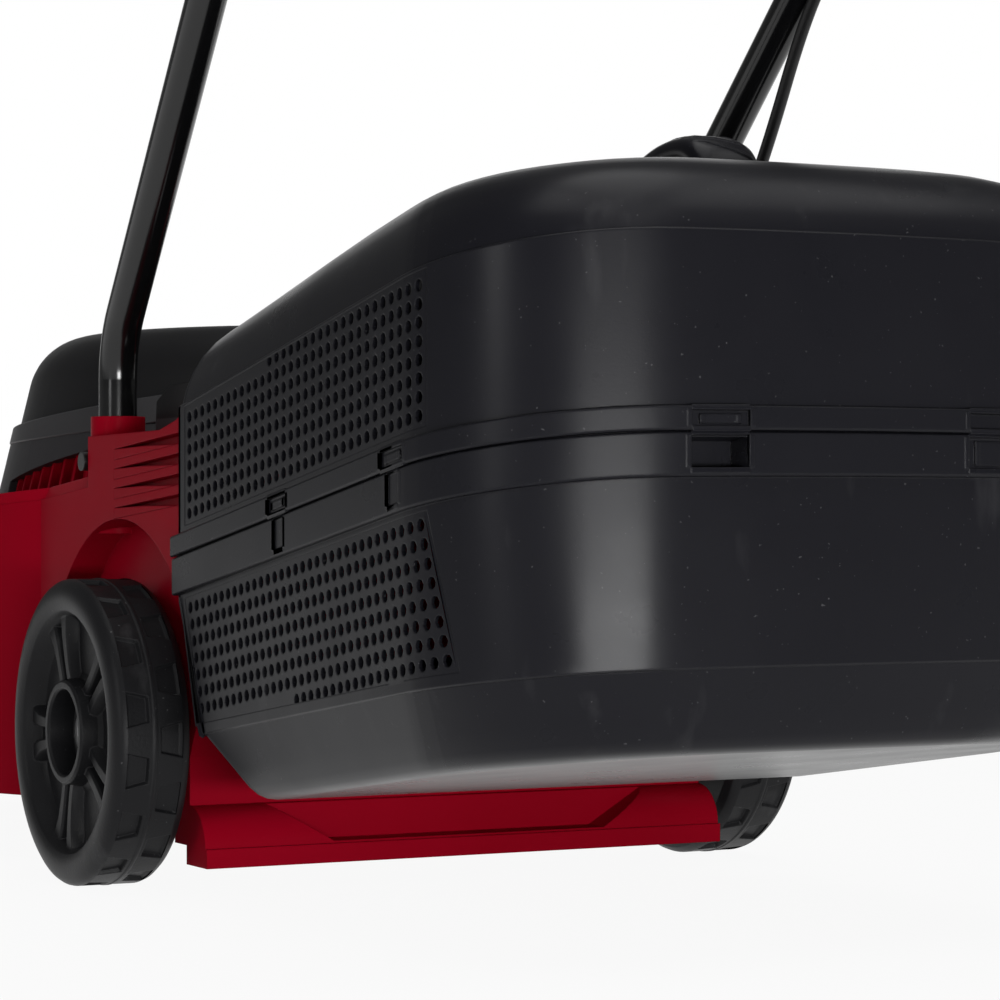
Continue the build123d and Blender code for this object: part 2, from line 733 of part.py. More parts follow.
with BuildPart() as motor_hood:
    add(hood_form(0, HOOD_TOP_Z, HOOD_ROUND))
    add(hood_form(HOOD_STEP, HOOD_BAND_Z, 0))
    with Locations(GLAND_PLANE):
        Cylinder(GLAND_BOSS_R, 2 * GLAND_BOSS_OUT)
    add(hood_form(-HOOD_WALL, HOOD_TOP_Z - HOOD_WALL, HOOD_ROUND - HOOD_WALL), mode=Mode.SUBTRACT)
    with Locations(*[(x, y, deck_top(y) - 1) for x, y in HOOD_POSTS]):
        Cylinder(HOOD_POST_R, HOOD_POST_H, align=(Align.CENTER, Align.CENTER, Align.MIN))
    split(bisect_by=deck_top_plane(), keep=Keep.TOP)
    with Locations(*[(x, y, deck_top(y)) for x, y in HOOD_POSTS]):
        Cylinder(SCREW_R + PRESS_FIT, 2 * SCREW_L, mode=Mode.SUBTRACT)
    with Locations(GLAND_PLANE):
        Cylinder(GLAND_R + PRESS_FIT, 4 * GLAND_BOSS_OUT, mode=Mode.SUBTRACT)
    vent = side_face(
        (VENT_REAR_Y, deck_top(VENT_REAR_Y) + VENT_SILL),
        (VENT_REAR_Y, VENT_TOP_Z),
        (VENT_FRONT_Y, VENT_TOP_Z - VENT_SLOPE * (VENT_FRONT_Y - VENT_REAR_Y)),
        (VENT_FRONT_Y, deck_top(VENT_FRONT_Y) + VENT_SILL),
    )
    extrude(vent, amount=HOOD_A + 2 * HOOD_STEP, both=True, mode=Mode.SUBTRACT)

with BuildPart() as hood_screws:
    with Locations(*[(x, y, deck_top(y) - DECK_SHOULDER - 0.5) for x, y in HOOD_POSTS]):
        Cylinder(SCREW_HEAD_R, SCREW_HEAD_T, align=(Align.CENTER, Align.CENTER, Align.MAX))
        Cylinder(SCREW_R, SCREW_L, align=(Align.CENTER, Align.CENTER, Align.MIN))

with BuildPart() as cable_gland:
    with BuildSketch(GLAND_PLANE.offset(GLAND_BOSS_OUT)):
        Circle(GLAND_FLANGE_R)
    extrude(amount=GLAND_FLANGE_T)
    with BuildSketch(GLAND_PLANE.offset(GLAND_BOSS_OUT)):
        Circle(GLAND_R)
    extrude(amount=-2 * GLAND_BOSS_OUT)
    with BuildSketch(GLAND_PLANE.offset(GLAND_BOSS_OUT)):
        Circle(GLAND_TIP_R)
    extrude(amount=GLAND_L - GLAND_BOSS_OUT)
    with Locations(GLAND_PLANE):
        Cylinder(CABLE_R + PRESS_FIT, 4 * GLAND_L, mode=Mode.SUBTRACT)

save(motor_hood.part, "motor_hood")
save(hood_screws.part, "hood_screws")
save(cable_gland.part, "cable_gland")

# Motor
UPRIGHT = (Align.CENTER, Align.CENTER, Align.MIN)

with BuildPart() as motor_frame:
    with Locations((0, MOTOR_Y, CEILING_Z + CEILING_T)):
        Cylinder(BASE_PLATE_R, BASE_PLATE_T, align=UPRIGHT)
        Cylinder(BASE_BOSS_R, BASE_BOSS_H, align=(Align.CENTER, Align.CENTER, Align.MAX))
        with PolarLocations(PILLAR_PCD / 2, 4, start_angle=45):
            Cylinder(PILLAR_FOOT_R, STATOR_LOW_Z - CEILING_Z - CEILING_T, align=UPRIGHT)
            Cylinder(PILLAR_R, TOP_BRACKET_Z - CEILING_Z - CEILING_T, align=UPRIGHT)
        Cylinder(SHAFT_R + 2, 4 * BASE_BOSS_H, mode=Mode.SUBTRACT)
    with Locations((0, MOTOR_Y, LOWER_BEARING_Z + BEARING_T)):
        Cylinder(
            BEARING_R + PRESS_FIT,
            2 * BEARING_T,
            align=(Align.CENTER, Align.CENTER, Align.MAX),
            mode=Mode.SUBTRACT,
        )

with BuildPart() as lower_bearing:
    with Locations((0, MOTOR_Y, LOWER_BEARING_Z)):
        Cylinder(BEARING_R, BEARING_T, align=UPRIGHT)
        Cylinder(SHAFT_R + RUN_FIT, 3 * BEARING_T, mode=Mode.SUBTRACT)

with BuildPart() as upper_bearing:
    with Locations((0, MOTOR_Y, UPPER_BEARING_Z)):
        Cylinder(BEARING_R, BEARING_T, align=UPRIGHT)
        Cylinder(SHAFT_R + RUN_FIT, 3 * BEARING_T, mode=Mode.SUBTRACT)

with BuildPart() as motor_top_bracket:
    with Locations((0, MOTOR_Y, TOP_BRACKET_Z)):
        Cylinder(BASE_PLATE_R, TOP_BRACKET_T, align=UPRIGHT)
        Cylinder(TOP_BOSS_R, TOP_BOSS_H, align=UPRIGHT)
    with Locations((0, MOTOR_Y, UPPER_BEARING_Z + BEARING_T)):
        Cylinder(
            BEARING_R + PRESS_FIT,
            2 * BEARING_T,
            align=(Align.CENTER, Align.CENTER, Align.MAX),
            mode=Mode.SUBTRACT,
        )

with BuildPart() as stator:
    with BuildSketch(Plane.XY.offset(STATOR_LOW_Z)):
        with Locations((0, MOTOR_Y)):
            RectangleRounded(STATOR_SIDE, STATOR_SIDE, STATOR_CORNER_R)
            Circle(STATOR_BORE_R, mode=Mode.SUBTRACT)
            with PolarLocations(PILLAR_PCD / 2, 4, start_angle=45):
                Circle(PILLAR_R + PRESS_FIT, mode=Mode.SUBTRACT)
    extrude(amount=STATOR_H)

with BuildPart() as rotor_core:
    with BuildSketch(Plane.XY.offset(STATOR_LOW_Z)):
        with Locations((0, MOTOR_Y)):
            Circle(STATOR_BORE_R - ROTOR_GAP)
            Circle(SHAFT_R + PRESS_FIT, mode=Mode.SUBTRACT)
            with PolarLocations(STATOR_BORE_R - ROTOR_GAP, ROTOR_SLOTS):
                Rectangle(2 * ROTOR_SLOT_DEPTH, ROTOR_SLOT_W, mode=Mode.SUBTRACT)
    extrude(amount=STATOR_H)

with BuildPart() as commutator:
    with Locations((0, MOTOR_Y, COMMUTATOR_Z)):
        Cylinder(COMMUTATOR_R, COMMUTATOR_H, align=UPRIGHT)
        Cylinder(SHAFT_R + PRESS_FIT, 4 * COMMUTATOR_H, mode=Mode.SUBTRACT)

with BuildPart() as brush_holders:
    for side in SIDES.values():
        with Locations((side * (COMMUTATOR_R + PART_GAP + BRUSH_L / 2), MOTOR_Y, TOP_BRACKET_Z)):
            Box(BRUSH_L, BRUSH_W, BRUSH_H, align=(Align.CENTER, Align.CENTER, Align.MAX))
    with Locations((0, MOTOR_Y, TOP_BRACKET_Z)):
        Cylinder(COMMUTATOR_R + PART_GAP, 4 * BRUSH_H, mode=Mode.SUBTRACT)

with BuildPart() as motor_shaft:
    with Locations((0, MOTOR_Y, SHAFT_LOW_Z)):
        Cylinder(SHAFT_R, SHAFT_TOP_Z - SHAFT_LOW_Z, align=UPRIGHT)
        Cylinder(BLADE_BOLT_R + PRESS_FIT, 4 * HUB_R / 2, mode=Mode.SUBTRACT)

with BuildPart() as cooling_fan:
    with Locations((0, MOTOR_Y, FAN_LOW_Z)):
        Cylinder(FAN_R, FAN_DISC_T, align=UPRIGHT)
        Cylinder(FAN_HUB_R, FAN_H, align=UPRIGHT)
        with PolarLocations((FAN_R + FAN_HUB_R) / 2 - 1, FAN_BLADES):
            Box(FAN_R - FAN_HUB_R, FAN_DISC_T, FAN_H, align=UPRIGHT)
        Cylinder(SHAFT_R + PRESS_FIT, 4 * FAN_H, mode=Mode.SUBTRACT)

with BuildPart() as blade_hub:
    with Locations((0, MOTOR_Y, BLADE_Z + BLADE_T)):
        Cylinder(HUB_R, HUB_TOP_Z - BLADE_Z - BLADE_T, align=UPRIGHT)
        Cylinder(BLADE_BOLT_R + PRESS_FIT, 2 * HUB_TOP_Z, mode=Mode.SUBTRACT)
    with Locations((0, MOTOR_Y, SHAFT_LOW_Z)):
        Cylinder(SHAFT_R + PRESS_FIT, HUB_TOP_Z, align=UPRIGHT, mode=Mode.SUBTRACT)

with BuildPart() as blade:
    with Locations((0, MOTOR_Y, BLADE_Z)):
        Box(BLADE_D, BLADE_W, BLADE_T, align=UPRIGHT)
    for side in SIDES.values():
        edge = MOTOR_Y - side * BLADE_W / 2
        wing = side_face(
            (edge + side, BLADE_Z),
            (edge - side * BLADE_WING_OUT, BLADE_Z + BLADE_WING_RISE),
            (edge - side * BLADE_WING_OUT, BLADE_Z + BLADE_WING_RISE + BLADE_T),
            (edge + side, BLADE_Z + BLADE_T),
            x=side * BLADE_D / 2,
        )
        extrude(wing, amount=-side * BLADE_WING_L)
    with Locations((0, MOTOR_Y, BLADE_Z)):
        Cylinder(BLADE_BOLT_R + PRESS_FIT, 4 * BLADE_T, mode=Mode.SUBTRACT)

with BuildPart() as blade_bolt:
    with BuildSketch(Plane.XY.offset(BLADE_Z)):
        with Locations((0, MOTOR_Y)):
            RegularPolygon(BLADE_BOLT_HEAD_R, 6)
    extrude(amount=-BLADE_BOLT_HEAD_H)
    with Locations((0, MOTOR_Y, BLADE_Z)):
        Cylinder(BLADE_BOLT_R, HUB_TOP_Z - SHAFT_LOW_Z + BLADE_T, align=UPRIGHT)

save(motor_frame.part, "motor_frame")
save(lower_bearing.part, "lower_bearing")
save(upper_bearing.part, "upper_bearing")
save(motor_top_bracket.part, "motor_top_bracket")
save(stator.part, "stator")
save(rotor_core.part, "rotor_core")
save(commutator.part, "commutator")
save(brush_holders.part, "brush_holders")
save(motor_shaft.part, "motor_shaft")
save(cooling_fan.part, "cooling_fan")
save(blade_hub.part, "blade_hub")
save(blade.part, "blade")
save(blade_bolt.part, "blade_bolt")

# Rear flap on its hinge rod
with BuildPart() as rear_flap:
    shell = side_face(
        (HINGE_Y + FLAP_BARREL_R, HINGE_Z),
        (HINGE_Y + FLAP_BARREL_R - 2, FLAP_TOP_Z - 9),
        (HINGE_Y - 12, FLAP_TOP_Z - 2),
        (-40, FLAP_TOP_Z),
        (FLAP_REAR_Y, FLAP_TOP_Z),
        (FLAP_REAR_Y, FLAP_TOP_Z - FLAP_T),
        (-40, FLAP_TOP_Z - FLAP_T),
        (HINGE_Y - 12, FLAP_TOP_Z - FLAP_T - 2),
        (HINGE_Y + FLAP_BARREL_R - FLAP_T - 2, FLAP_TOP_Z - 11),
        (HINGE_Y + FLAP_BARREL_R - FLAP_T, HINGE_Z),
    )
    extrude(shell, amount=FLAP_X, both=True)
    for side in SIDES.values():
        cheek = side_face(
            (HINGE_Y + FLAP_BARREL_R, HINGE_Z),
            (HINGE_Y + FLAP_BARREL_R - 2, FLAP_TOP_Z - 9),
            (HINGE_Y - 12, FLAP_TOP_Z - 2),
            (-40, FLAP_TOP_Z),
            (FLAP_REAR_Y, FLAP_TOP_Z),
            (FLAP_REAR_Y + 8, FLAP_CHEEK_Z + 12),
            (HINGE_Y - 30, FLAP_CHEEK_Z),
            (HINGE_Y - FLAP_BARREL_R, HINGE_Z),
            x=side * (FLAP_X - FLAP_T),
        )
        extrude(cheek, amount=side * FLAP_T)
    with Locations((0, HINGE_Y, HINGE_Z)):
        Cylinder(FLAP_BARREL_R, 2 * FLAP_X, rotation=(0, 90, 0))
        Cylinder(HINGE_ROD_R + RUN_FIT, 3 * FLAP_X, rotation=(0, 90, 0), mode=Mode.SUBTRACT)

with BuildPart() as flap_hinge_rod:
    with Locations((0, HINGE_Y, HINGE_Z)):
        Cylinder(HINGE_ROD_R, 2 * TUNNEL_X + HINGE_EAR_T - 1, rotation=(0, 90, 0))

save(rear_flap.part, "rear_flap")
save(flap_hinge_rod.part, "flap_hinge_rod")

# Wheels and axles
ACROSS = (0, 90, 0)
FROM_OUTER_FACE = (Align.CENTER, Align.CENTER, Align.MAX)

with BuildPart() as wheel:
    Cylinder(WHEEL_D / 2, WHEEL_W, rotation=ACROSS, align=FROM_OUTER_FACE)
    fillet(wheel.edges().filter_by(GeomType.CIRCLE), WHEEL_ROUND)
    Cylinder(
        WHEEL_RIM_R, WHEEL_DISH, rotation=ACROSS, align=FROM_OUTER_FACE, mode=Mode.SUBTRACT
    )
    Cylinder(WHEEL_HUB_R, WHEEL_W, rotation=ACROSS, align=FROM_OUTER_FACE)
    Cylinder(
        WHEEL_CUP_R, WHEEL_CUP_DEPTH, rotation=ACROSS, align=FROM_OUTER_FACE, mode=Mode.SUBTRACT
    )
    with BuildSketch(Plane.YZ.offset(-WHEEL_DISH)):
        with PolarLocations(0, POCKET_COUNT, start_angle=90):
            Polygon(
                (WHEEL_HUB_R + 4, -POCKET_IN_W / 2),
                (WHEEL_RIM_R - 4, -POCKET_OUT_W / 2),
                (WHEEL_RIM_R - 1, 0),
                (WHEEL_RIM_R - 4, POCKET_OUT_W / 2),
                (WHEEL_HUB_R + 4, POCKET_IN_W / 2),
                align=None,
            )
    extrude(amount=-POCKET_DEPTH, mode=Mode.SUBTRACT)
    with BuildSketch(Plane.YZ.offset(-WHEEL_W)):
        Circle(WHEEL_RIM_R + 8)
        Circle(WHEEL_HUB_R, mode=Mode.SUBTRACT)
    extrude(amount=WHEEL_W - WHEEL_DISH - POCKET_DEPTH - 3, mode=Mode.SUBTRACT)
    for row, turn in ((0.27, 0), (0.73, 180 / GROOVE_COUNT)):
        with Locations(Plane.YZ.offset(-row * WHEEL_W)):
            with PolarLocations(WHEEL_D / 2, GROOVE_COUNT, start_angle=turn):
                Box(2 * GROOVE_DEPTH, GROOVE_W, WHEEL_W * 0.4, mode=Mode.SUBTRACT)
    Cylinder(AXLE_D / 2 + RUN_FIT, 3 * WHEEL_W, rotation=ACROSS, mode=Mode.SUBTRACT)

for end, axle_y in AXLES.items():
    for name, side in SIDES.items():
        turned = Rot(0, 0, 0 if side > 0 else 180) * wheel.part
        save(Pos(side * WHEEL_OUT_X, axle_y, AXLE_Z) * turned, f"{end}_wheel_{name}")
    wall_x = WELL_X if end == "rear" else NOSE_X
    cap_in_x = WHEEL_OUT_X - WHEEL_CUP_DEPTH + SIDE_PLAY
    with BuildPart() as axle:
        with Locations((0, axle_y, AXLE_Z)):
            Cylinder(AXLE_D / 2, 2 * (cap_in_x + AXLE_CAP_T), rotation=ACROSS)
    with BuildPart() as caps:
        with Locations((0, axle_y, AXLE_Z)):
            Cylinder(AXLE_CAP_R, 2 * (cap_in_x + AXLE_CAP_T), rotation=ACROSS)
            Cylinder(AXLE_CAP_R + 1, 2 * cap_in_x, rotation=ACROSS, mode=Mode.SUBTRACT)
            Cylinder(AXLE_D / 2 + PRESS_FIT, 3 * cap_in_x, rotation=ACROSS, mode=Mode.SUBTRACT)
    with BuildPart() as spacers:
        with Locations((0, axle_y, AXLE_Z)):
            Cylinder(SPACER_R, 2 * (WHEEL_IN_X - SIDE_PLAY), rotation=ACROSS)
            Cylinder(SPACER_R + 1, 2 * (wall_x + SIDE_PLAY), rotation=ACROSS, mode=Mode.SUBTRACT)
            Cylinder(AXLE_D / 2 + PRESS_FIT, 3 * cap_in_x, rotation=ACROSS, mode=Mode.SUBTRACT)
    save(axle.part, f"{end}_axle")
    save(caps.part, f"{end}_axle_caps")
    save(spacers.part, f"{end}_axle_spacers")

# Grass box
def box_plan(plane, stretch, inset, facing=1):
    """The box's outline, stretched along a sloping plane that starts at the box's front."""
    edge = facing * (BOX_X - inset)
    front = -facing * inset
    rear = facing * (BOX_REAR_Y - BOX_FRONT_Y + inset) * stretch
    corner = rear + facing * BOX_REAR_BULGE
    with BuildSketch(plane) as plan:
        with BuildLine():
            Polyline((edge, corner), (edge, front), (-edge, front), (-edge, corner))
            ThreePointArc((-edge, corner), (0, rear), (edge, corner))
        make_face()
        fillet(plan.vertices().sort_by(Axis.Y, reverse=facing < 0)[:2], BOX_CORNER_R - inset)
    return plan.sketch


def box_form(inset):
    """The box's outer form, or the space inside it."""
    upper = Plane(
        origin=(0, BOX_FRONT_Y, UPPER_CREASE_Z), x_dir=(1, 0, 0), z_dir=(0, UPPER_CREASE_SLOPE, 1)
    )
    lower_z = lower_crease_z(BOX_FRONT_Y)
    lower = Plane(
        origin=(0, BOX_FRONT_Y, lower_z), x_dir=(1, 0, 0), z_dir=(0, -LOWER_CREASE_SLOPE, -1)
    )
    upper_stretch = sqrt(1 + UPPER_CREASE_SLOPE**2)
    lower_stretch = sqrt(1 + LOWER_CREASE_SLOPE**2)
    band_h = BAND_H - inset
    band_in = inset + band_h * tan(radians(BAND_LEAN))
    with BuildPart() as form:
        extrude(box_plan(BOX_GROUND, 1, inset), amount=CARRY_TOP_Z)
        split(bisect_by=upper, keep=Keep.BOTTOM)
        split(bisect_by=lower, keep=Keep.BOTTOM)
        band = box_plan(upper.offset(-CREASE_LAP), upper_stretch, inset + CREASE_LAP)
        extrude(band, amount=band_h + CREASE_LAP, taper=BAND_LEAN)
        crown = box_plan(upper.offset(band_h - CREASE_LAP), upper_stretch, band_in + CREASE_LAP)
        extrude(crown, amount=CROWN_H + CREASE_LAP, taper=CROWN_LEAN)
        keel = box_plan(lower.offset(-CREASE_LAP), lower_stretch, inset + CREASE_LAP, facing=-1)
        extrude(keel, amount=KEEL_H - inset + CREASE_LAP, taper=KEEL_LEAN)
        rake = side_face(
            (BOX_FRONT_Y - inset, MOUTH_RAKE_Z),
            (LOWER_CREASE_Y - inset, LOWER_CREASE_Z),
            (KEEL_FRONT_Y - inset, KEEL_FRONT_Z - KEEL_H),
            (BOX_FRONT_Y + 1, KEEL_FRONT_Z - KEEL_H),
            (BOX_FRONT_Y + 1, MOUTH_RAKE_Z),
        )
        extrude(rake, amount=BOX_X + 1, both=True, mode=Mode.SUBTRACT)
    return form.part


def box_rim(outset, up, down):
    """A band round the box's sides and rear, between two heights over the seam."""
    with BuildPart() as rim:
        extrude(box_plan(BOX_GROUND, 1, -outset), amount=CARRY_TOP_Z)
        extrude(box_plan(BOX_GROUND, 1, BOX_WALL), amount=CARRY_TOP_Z, mode=Mode.SUBTRACT)
        with Locations((0, BOX_FRONT_Y, 0)):
            Box(
                3 * BOX_X,
                2 * outset + 2 * BOX_WALL,
                3 * CARRY_TOP_Z,
                mode=Mode.SUBTRACT,
            )
        split(bisect_by=SEAM.offset(up), keep=Keep.BOTTOM)
        split(bisect_by=SEAM.offset(down), keep=Keep.TOP)
    return rim.part


def latch_band(up, down):
    """Thin tongues over the rim that clip one half of the box to the other."""
    with BuildPart() as tongue:
        add(box_rim(FLANGE_OUT + LATCH_T, up, down))
        add(box_rim(FLANGE_OUT, up + 1, down - 1), mode=Mode.SUBTRACT)
    return tongue.part


def latches(band, rear_x, side_ys):
    """The tongues of one half: one at the rear and one for each place along the sides."""
    with BuildPart() as cut:
        with Locations((rear_x, BOX_REAR_Y, SEAM_Z)):
            Box(LATCH_W, 4 * FLANGE_OUT, 2 * CARRY_TOP_Z)
        with Locations(*[(0, y, SEAM_Z) for y in side_ys]):
            Box(3 * BOX_X, LATCH_W, 2 * CARRY_TOP_Z)
        add(band, mode=Mode.INTERSECT)
    return cut.part


def grille_corners(upper):
    """The corners of a side grille above or below the seam."""
    if upper:
        front, rear, shift = GRILLE_FRONT_Y, GRILLE_REAR_Y, 0
        low = [seam_z(y) + GRILLE_SEAM_UP for y in (front, rear)]
        high = [upper_crease_z(y) - GRILLE_CREASE for y in (front, rear)]
    else:
        front, rear, shift = GRILLE_FRONT_Y, GRILLE_REAR_Y, GRILLE_SHIFT
        low = [lower_crease_z(y + shift) + GRILLE_CREASE for y in (front, rear)]
        high = [seam_z(y) - GRILLE_SEAM_DOWN for y in (front, rear)]
    return (
        (front, high[0]),
        (rear, high[1]),
        (rear + shift, low[1]),
        (front + shift, low[0]),
    )


def box_half(keep):
    """The part of the box's shell above or below the seam, with openings for the grilles."""
    upper = keep == Keep.TOP
    with BuildPart() as half:
        add(box_form(0))
        split(bisect_by=SEAM, keep=keep)
        add(box_rim(FLANGE_OUT, FLANGE_UP, 0) if upper else box_rim(FLANGE_OUT, 0, -FLANGE_DOWN))
        add(box_form(BOX_WALL), mode=Mode.SUBTRACT)
        with BuildSketch(Plane.XZ.offset(-BOX_FRONT_Y - 1)):
            with Locations((0, (MOUTH_LOW_Z + MOUTH_TOP_Z) / 2)):
                RectangleRounded(2 * MOUTH_X, MOUTH_TOP_Z - MOUTH_LOW_Z, MOUTH_CORNER_R)
        extrude(amount=MOUTH_DEPTH, mode=Mode.SUBTRACT)
        for side in SIDES.values():
            window = side_face(*grille_corners(upper), x=side * (BOX_X - 2 * BOX_WALL))
            extrude(window, amount=side * 2 * BOX_WALL, mode=Mode.SUBTRACT)
    return half.part


def grille(upper, side):
    """A side grille with rows of holes that lean with its outline."""
    corners = grille_corners(upper)
    front_high, rear_high, rear_low, front_low = [Vector(*corner) for corner in corners]
    holes = []
    for row in range(GRILLE_ROWS):
        down = (row + 0.5) / GRILLE_ROWS
        start = front_high + (front_low - front_high) * down
        end = rear_high + (rear_low - rear_high) * down
        holes += [
            start + (end - start) * ((column + 0.5) / GRILLE_COLUMNS)
            for column in range(GRILLE_COLUMNS)
        ]
    with BuildPart() as panel:
        with BuildSketch(Plane.YZ.offset(side * (BOX_X - GRILLE_RECESS))):
            with BuildLine():
                Polyline(*corners, close=True)
            make_face()
            with Locations(*[(hole.X, hole.Y) for hole in holes]):
                Rectangle(GRILLE_HOLE, GRILLE_HOLE, mode=Mode.SUBTRACT)
        extrude(amount=-side * GRILLE_T)
    return panel.part


with BuildPart() as box_upper:
    add(box_half(Keep.TOP))
    add(latches(latch_band(LATCH_UP, -LATCH_DOWN), REAR_LATCH_X[0], SIDE_LATCH_Y[:1]))

with BuildPart() as box_lower:
    add(box_half(Keep.BOTTOM))
    add(latches(latch_band(LATCH_UP, -LATCH_DOWN), REAR_LATCH_X[1], SIDE_LATCH_Y[1:]))

carry_middle_y = (CARRY_FRONT_Y + CARRY_REAR_Y) / 2
with BuildPart() as box_handle:
    with BuildSketch(Plane.YZ.offset(-CARRY_W / 2)):
        with BuildLine():
            outer_front = (CARRY_FRONT_Y, box_top_z(CARRY_FRONT_Y))
            outer_rear = (CARRY_REAR_Y, box_top_z(CARRY_REAR_Y))
            inner_front = (CARRY_FRONT_Y - CARRY_FOOT_L, box_top_z(CARRY_FRONT_Y - CARRY_FOOT_L))
            inner_rear = (CARRY_REAR_Y + CARRY_FOOT_L, box_top_z(CARRY_REAR_Y + CARRY_FOOT_L))
            ThreePointArc(outer_front, (carry_middle_y, CARRY_TOP_Z), outer_rear)
            Line(outer_rear, inner_rear)
            ThreePointArc(inner_rear, (carry_middle_y, CARRY_TOP_Z - CARRY_BAR_T), inner_front)
            Line(inner_front, outer_front)
        make_face()
    extrude(amount=CARRY_W)
    fillet(box_handle.edges().filter_by(GeomType.CIRCLE), CARRY_ROUND)

save(box_upper.part, "box_upper")
save(box_lower.part, "box_lower")
save(box_handle.part, "box_handle")
for name, side in SIDES.items():
    save(grille(True, side), f"box_grille_upper_{name}")
    save(grille(False, side), f"box_grille_lower_{name}")

# Handle tubes, joined by a bolt and a knob on each side
for name, side in SIDES.items():
    run = (
        (side * SOCKET_X, SOCKET_Y, SOCKET_FLOOR_Z),
        (side * SOCKET_X, SOCKET_Y, LOWER_BEND_Z),
        lower_tube_point(side, SPLAY_END_Z),
        on_handle(side * LOWER_TUBE_X, TUBE_OVERLAP),
    )
    with BuildPart() as lower_tube:
        add(tube(run, (LOWER_BEND_R, SPLAY_BEND_R), TUBE_R, TUBE_R - TUBE_WALL))
        with Locations((side * LOWER_TUBE_X, PIVOT_Y, PIVOT_Z)):
            Cylinder(BOLT_R + PRESS_FIT, 4 * TUBE_R, rotation=ACROSS, mode=Mode.SUBTRACT)
        with Locations((side * SOCKET_X, SCREW_Y, SCREW_Z)):
            Cylinder(
                SCREW_R + PRESS_FIT,
                2 * TUBE_R,
                rotation=(0, side * 90, 0),
                align=UPRIGHT,
                mode=Mode.SUBTRACT,
            )
    save(lower_tube.part, f"lower_handle_{name}")
    with BuildPart() as knob:
        with BuildSketch(Plane.YZ.offset(side * (LOWER_TUBE_X + TUBE_R + SIDE_PLAY))):
            with Locations((PIVOT_Y, PIVOT_Z)):
                Circle(KNOB_HUB_R)
                with PolarLocations(KNOB_HUB_R, KNOB_LOBES):
                    Circle(KNOB_LOBE_R)
        extrude(amount=side * KNOB_T)
        with Locations((side * (LOWER_TUBE_X + TUBE_R), PIVOT_Y, PIVOT_Z)):
            Cylinder(
                BOLT_R + RUN_FIT,
                KNOB_T - KNOB_CAP_T,
                rotation=(0, side * 90, 0),
                align=UPRIGHT,
                mode=Mode.SUBTRACT,
            )
    save(knob.part, f"knob_{name}")

with BuildPart() as pivot_bolts:
    for side in SIDES.values():
        with Locations((side * (UPPER_TUBE_X - TUBE_R - SIDE_PLAY), PIVOT_Y, PIVOT_Z)):
            Cylinder(
                BOLT_HEAD_R,
                BOLT_HEAD_T,
                rotation=(0, side * 90, 0),
                align=(Align.CENTER, Align.CENTER, Align.MAX),
            )
            Cylinder(
                BOLT_R,
                LOWER_TUBE_X - UPPER_TUBE_X + 2 * TUBE_R + KNOB_T - KNOB_CAP_T - 1,
                rotation=(0, side * 90, 0),
                align=UPRIGHT,
            )

with BuildPart() as handle_screws:
    for side in SIDES.values():
        with Locations((side * (SOCKET_X + SOCKET_R), SCREW_Y, SCREW_Z)):
            Cylinder(SCREW_HEAD_R, SCREW_HEAD_T, rotation=(0, side * 90, 0), align=UPRIGHT)
            Cylinder(
                SCREW_R,
                SCREW_L / 2,
                rotation=(0, side * 90, 0),
                align=(Align.CENTER, Align.CENTER, Align.MAX),
            )

with BuildPart() as upper_handle:
    legs = (
        on_handle(-UPPER_TUBE_X, -TUBE_OVERLAP),
        on_handle(-UPPER_TUBE_X, GRIP_S),
        on_handle(UPPER_TUBE_X, GRIP_S),
        on_handle(UPPER_TUBE_X, -TUBE_OVERLAP),
    )
    add(tube(legs, (GRIP_BEND_R, GRIP_BEND_R), TUBE_R, TUBE_R - TUBE_WALL))
    with Locations((0, PIVOT_Y, PIVOT_Z)):
        Cylinder(BOLT_R + RUN_FIT, 3 * UPPER_TUBE_X, rotation=ACROSS, mode=Mode.SUBTRACT)

save(pivot_bolts.part, "pivot_bolts")
save(handle_screws.part, "handle_screws")
save(upper_handle.part, "upper_handle")


# Switch box on the right leg
def switch_half(facing):
    """One half of the switch box: facing 1 under the handle, -1 on the operator's side."""
    middle_x = (SWITCH_IN_X + SWITCH_OUT_X) / 2
    middle_s = (SWITCH_LOW_S + SWITCH_HIGH_S) / 2
    length = SWITCH_HIGH_S - SWITCH_LOW_S
    inner_w = SWITCH_CAVITY_X - SWITCH_IN_X - SWITCH_WALL
    with BuildPart() as half:
        with BuildSketch(HANDLE):
            with Locations((middle_x, middle_s)):
                RectangleRounded(SWITCH_OUT_X - SWITCH_IN_X, length, SWITCH_ROUND)
        extrude(amount=facing * SWITCH_DEPTH, taper=SWITCH_TAPER)
        with BuildSketch(HANDLE):
            with Locations((SWITCH_IN_X + SWITCH_WALL + inner_w / 2, middle_s)):
                RectangleRounded(inner_w, length - 2 * SWITCH_WALL, SWITCH_ROUND - SWITCH_WALL)
        extrude(amount=facing * (SWITCH_DEPTH - SWITCH_WALL), taper=SWITCH_TAPER, mode=Mode.SUBTRACT)
        with BuildSketch(SWITCH_END):
            with Locations((UPPER_TUBE_X, 0)):
                Circle(TUBE_R + TUBE_FIT)
            with Locations((INLET_X, 0)):
                Circle(INLET_SPIGOT_R + TUBE_FIT)
            with Locations((CABLE_ENTRY_X, BAIL_PIVOT_DEPTH)):
                Circle(CABLE_R + TUBE_FIT)
        extrude(amount=2 * SWITCH_WALL, both=True, mode=Mode.SUBTRACT)
        with BuildSketch(SWITCH_END):
            with Locations((UPPER_TUBE_X, 0)):
                Circle(TUBE_R + TUBE_FIT)
        extrude(amount=2 * length, both=True, mode=Mode.SUBTRACT)
    return half.part


with BuildPart() as switch_base:
    add(switch_half(1))
    with Locations(on_handle(SWITCH_IN_X, BAIL_PIVOT_S, BAIL_PIVOT_DEPTH)):
        Cylinder(BAIL_R + RUN_FIT, 2 * BAIL_PIN_L, rotation=ACROSS, mode=Mode.SUBTRACT)

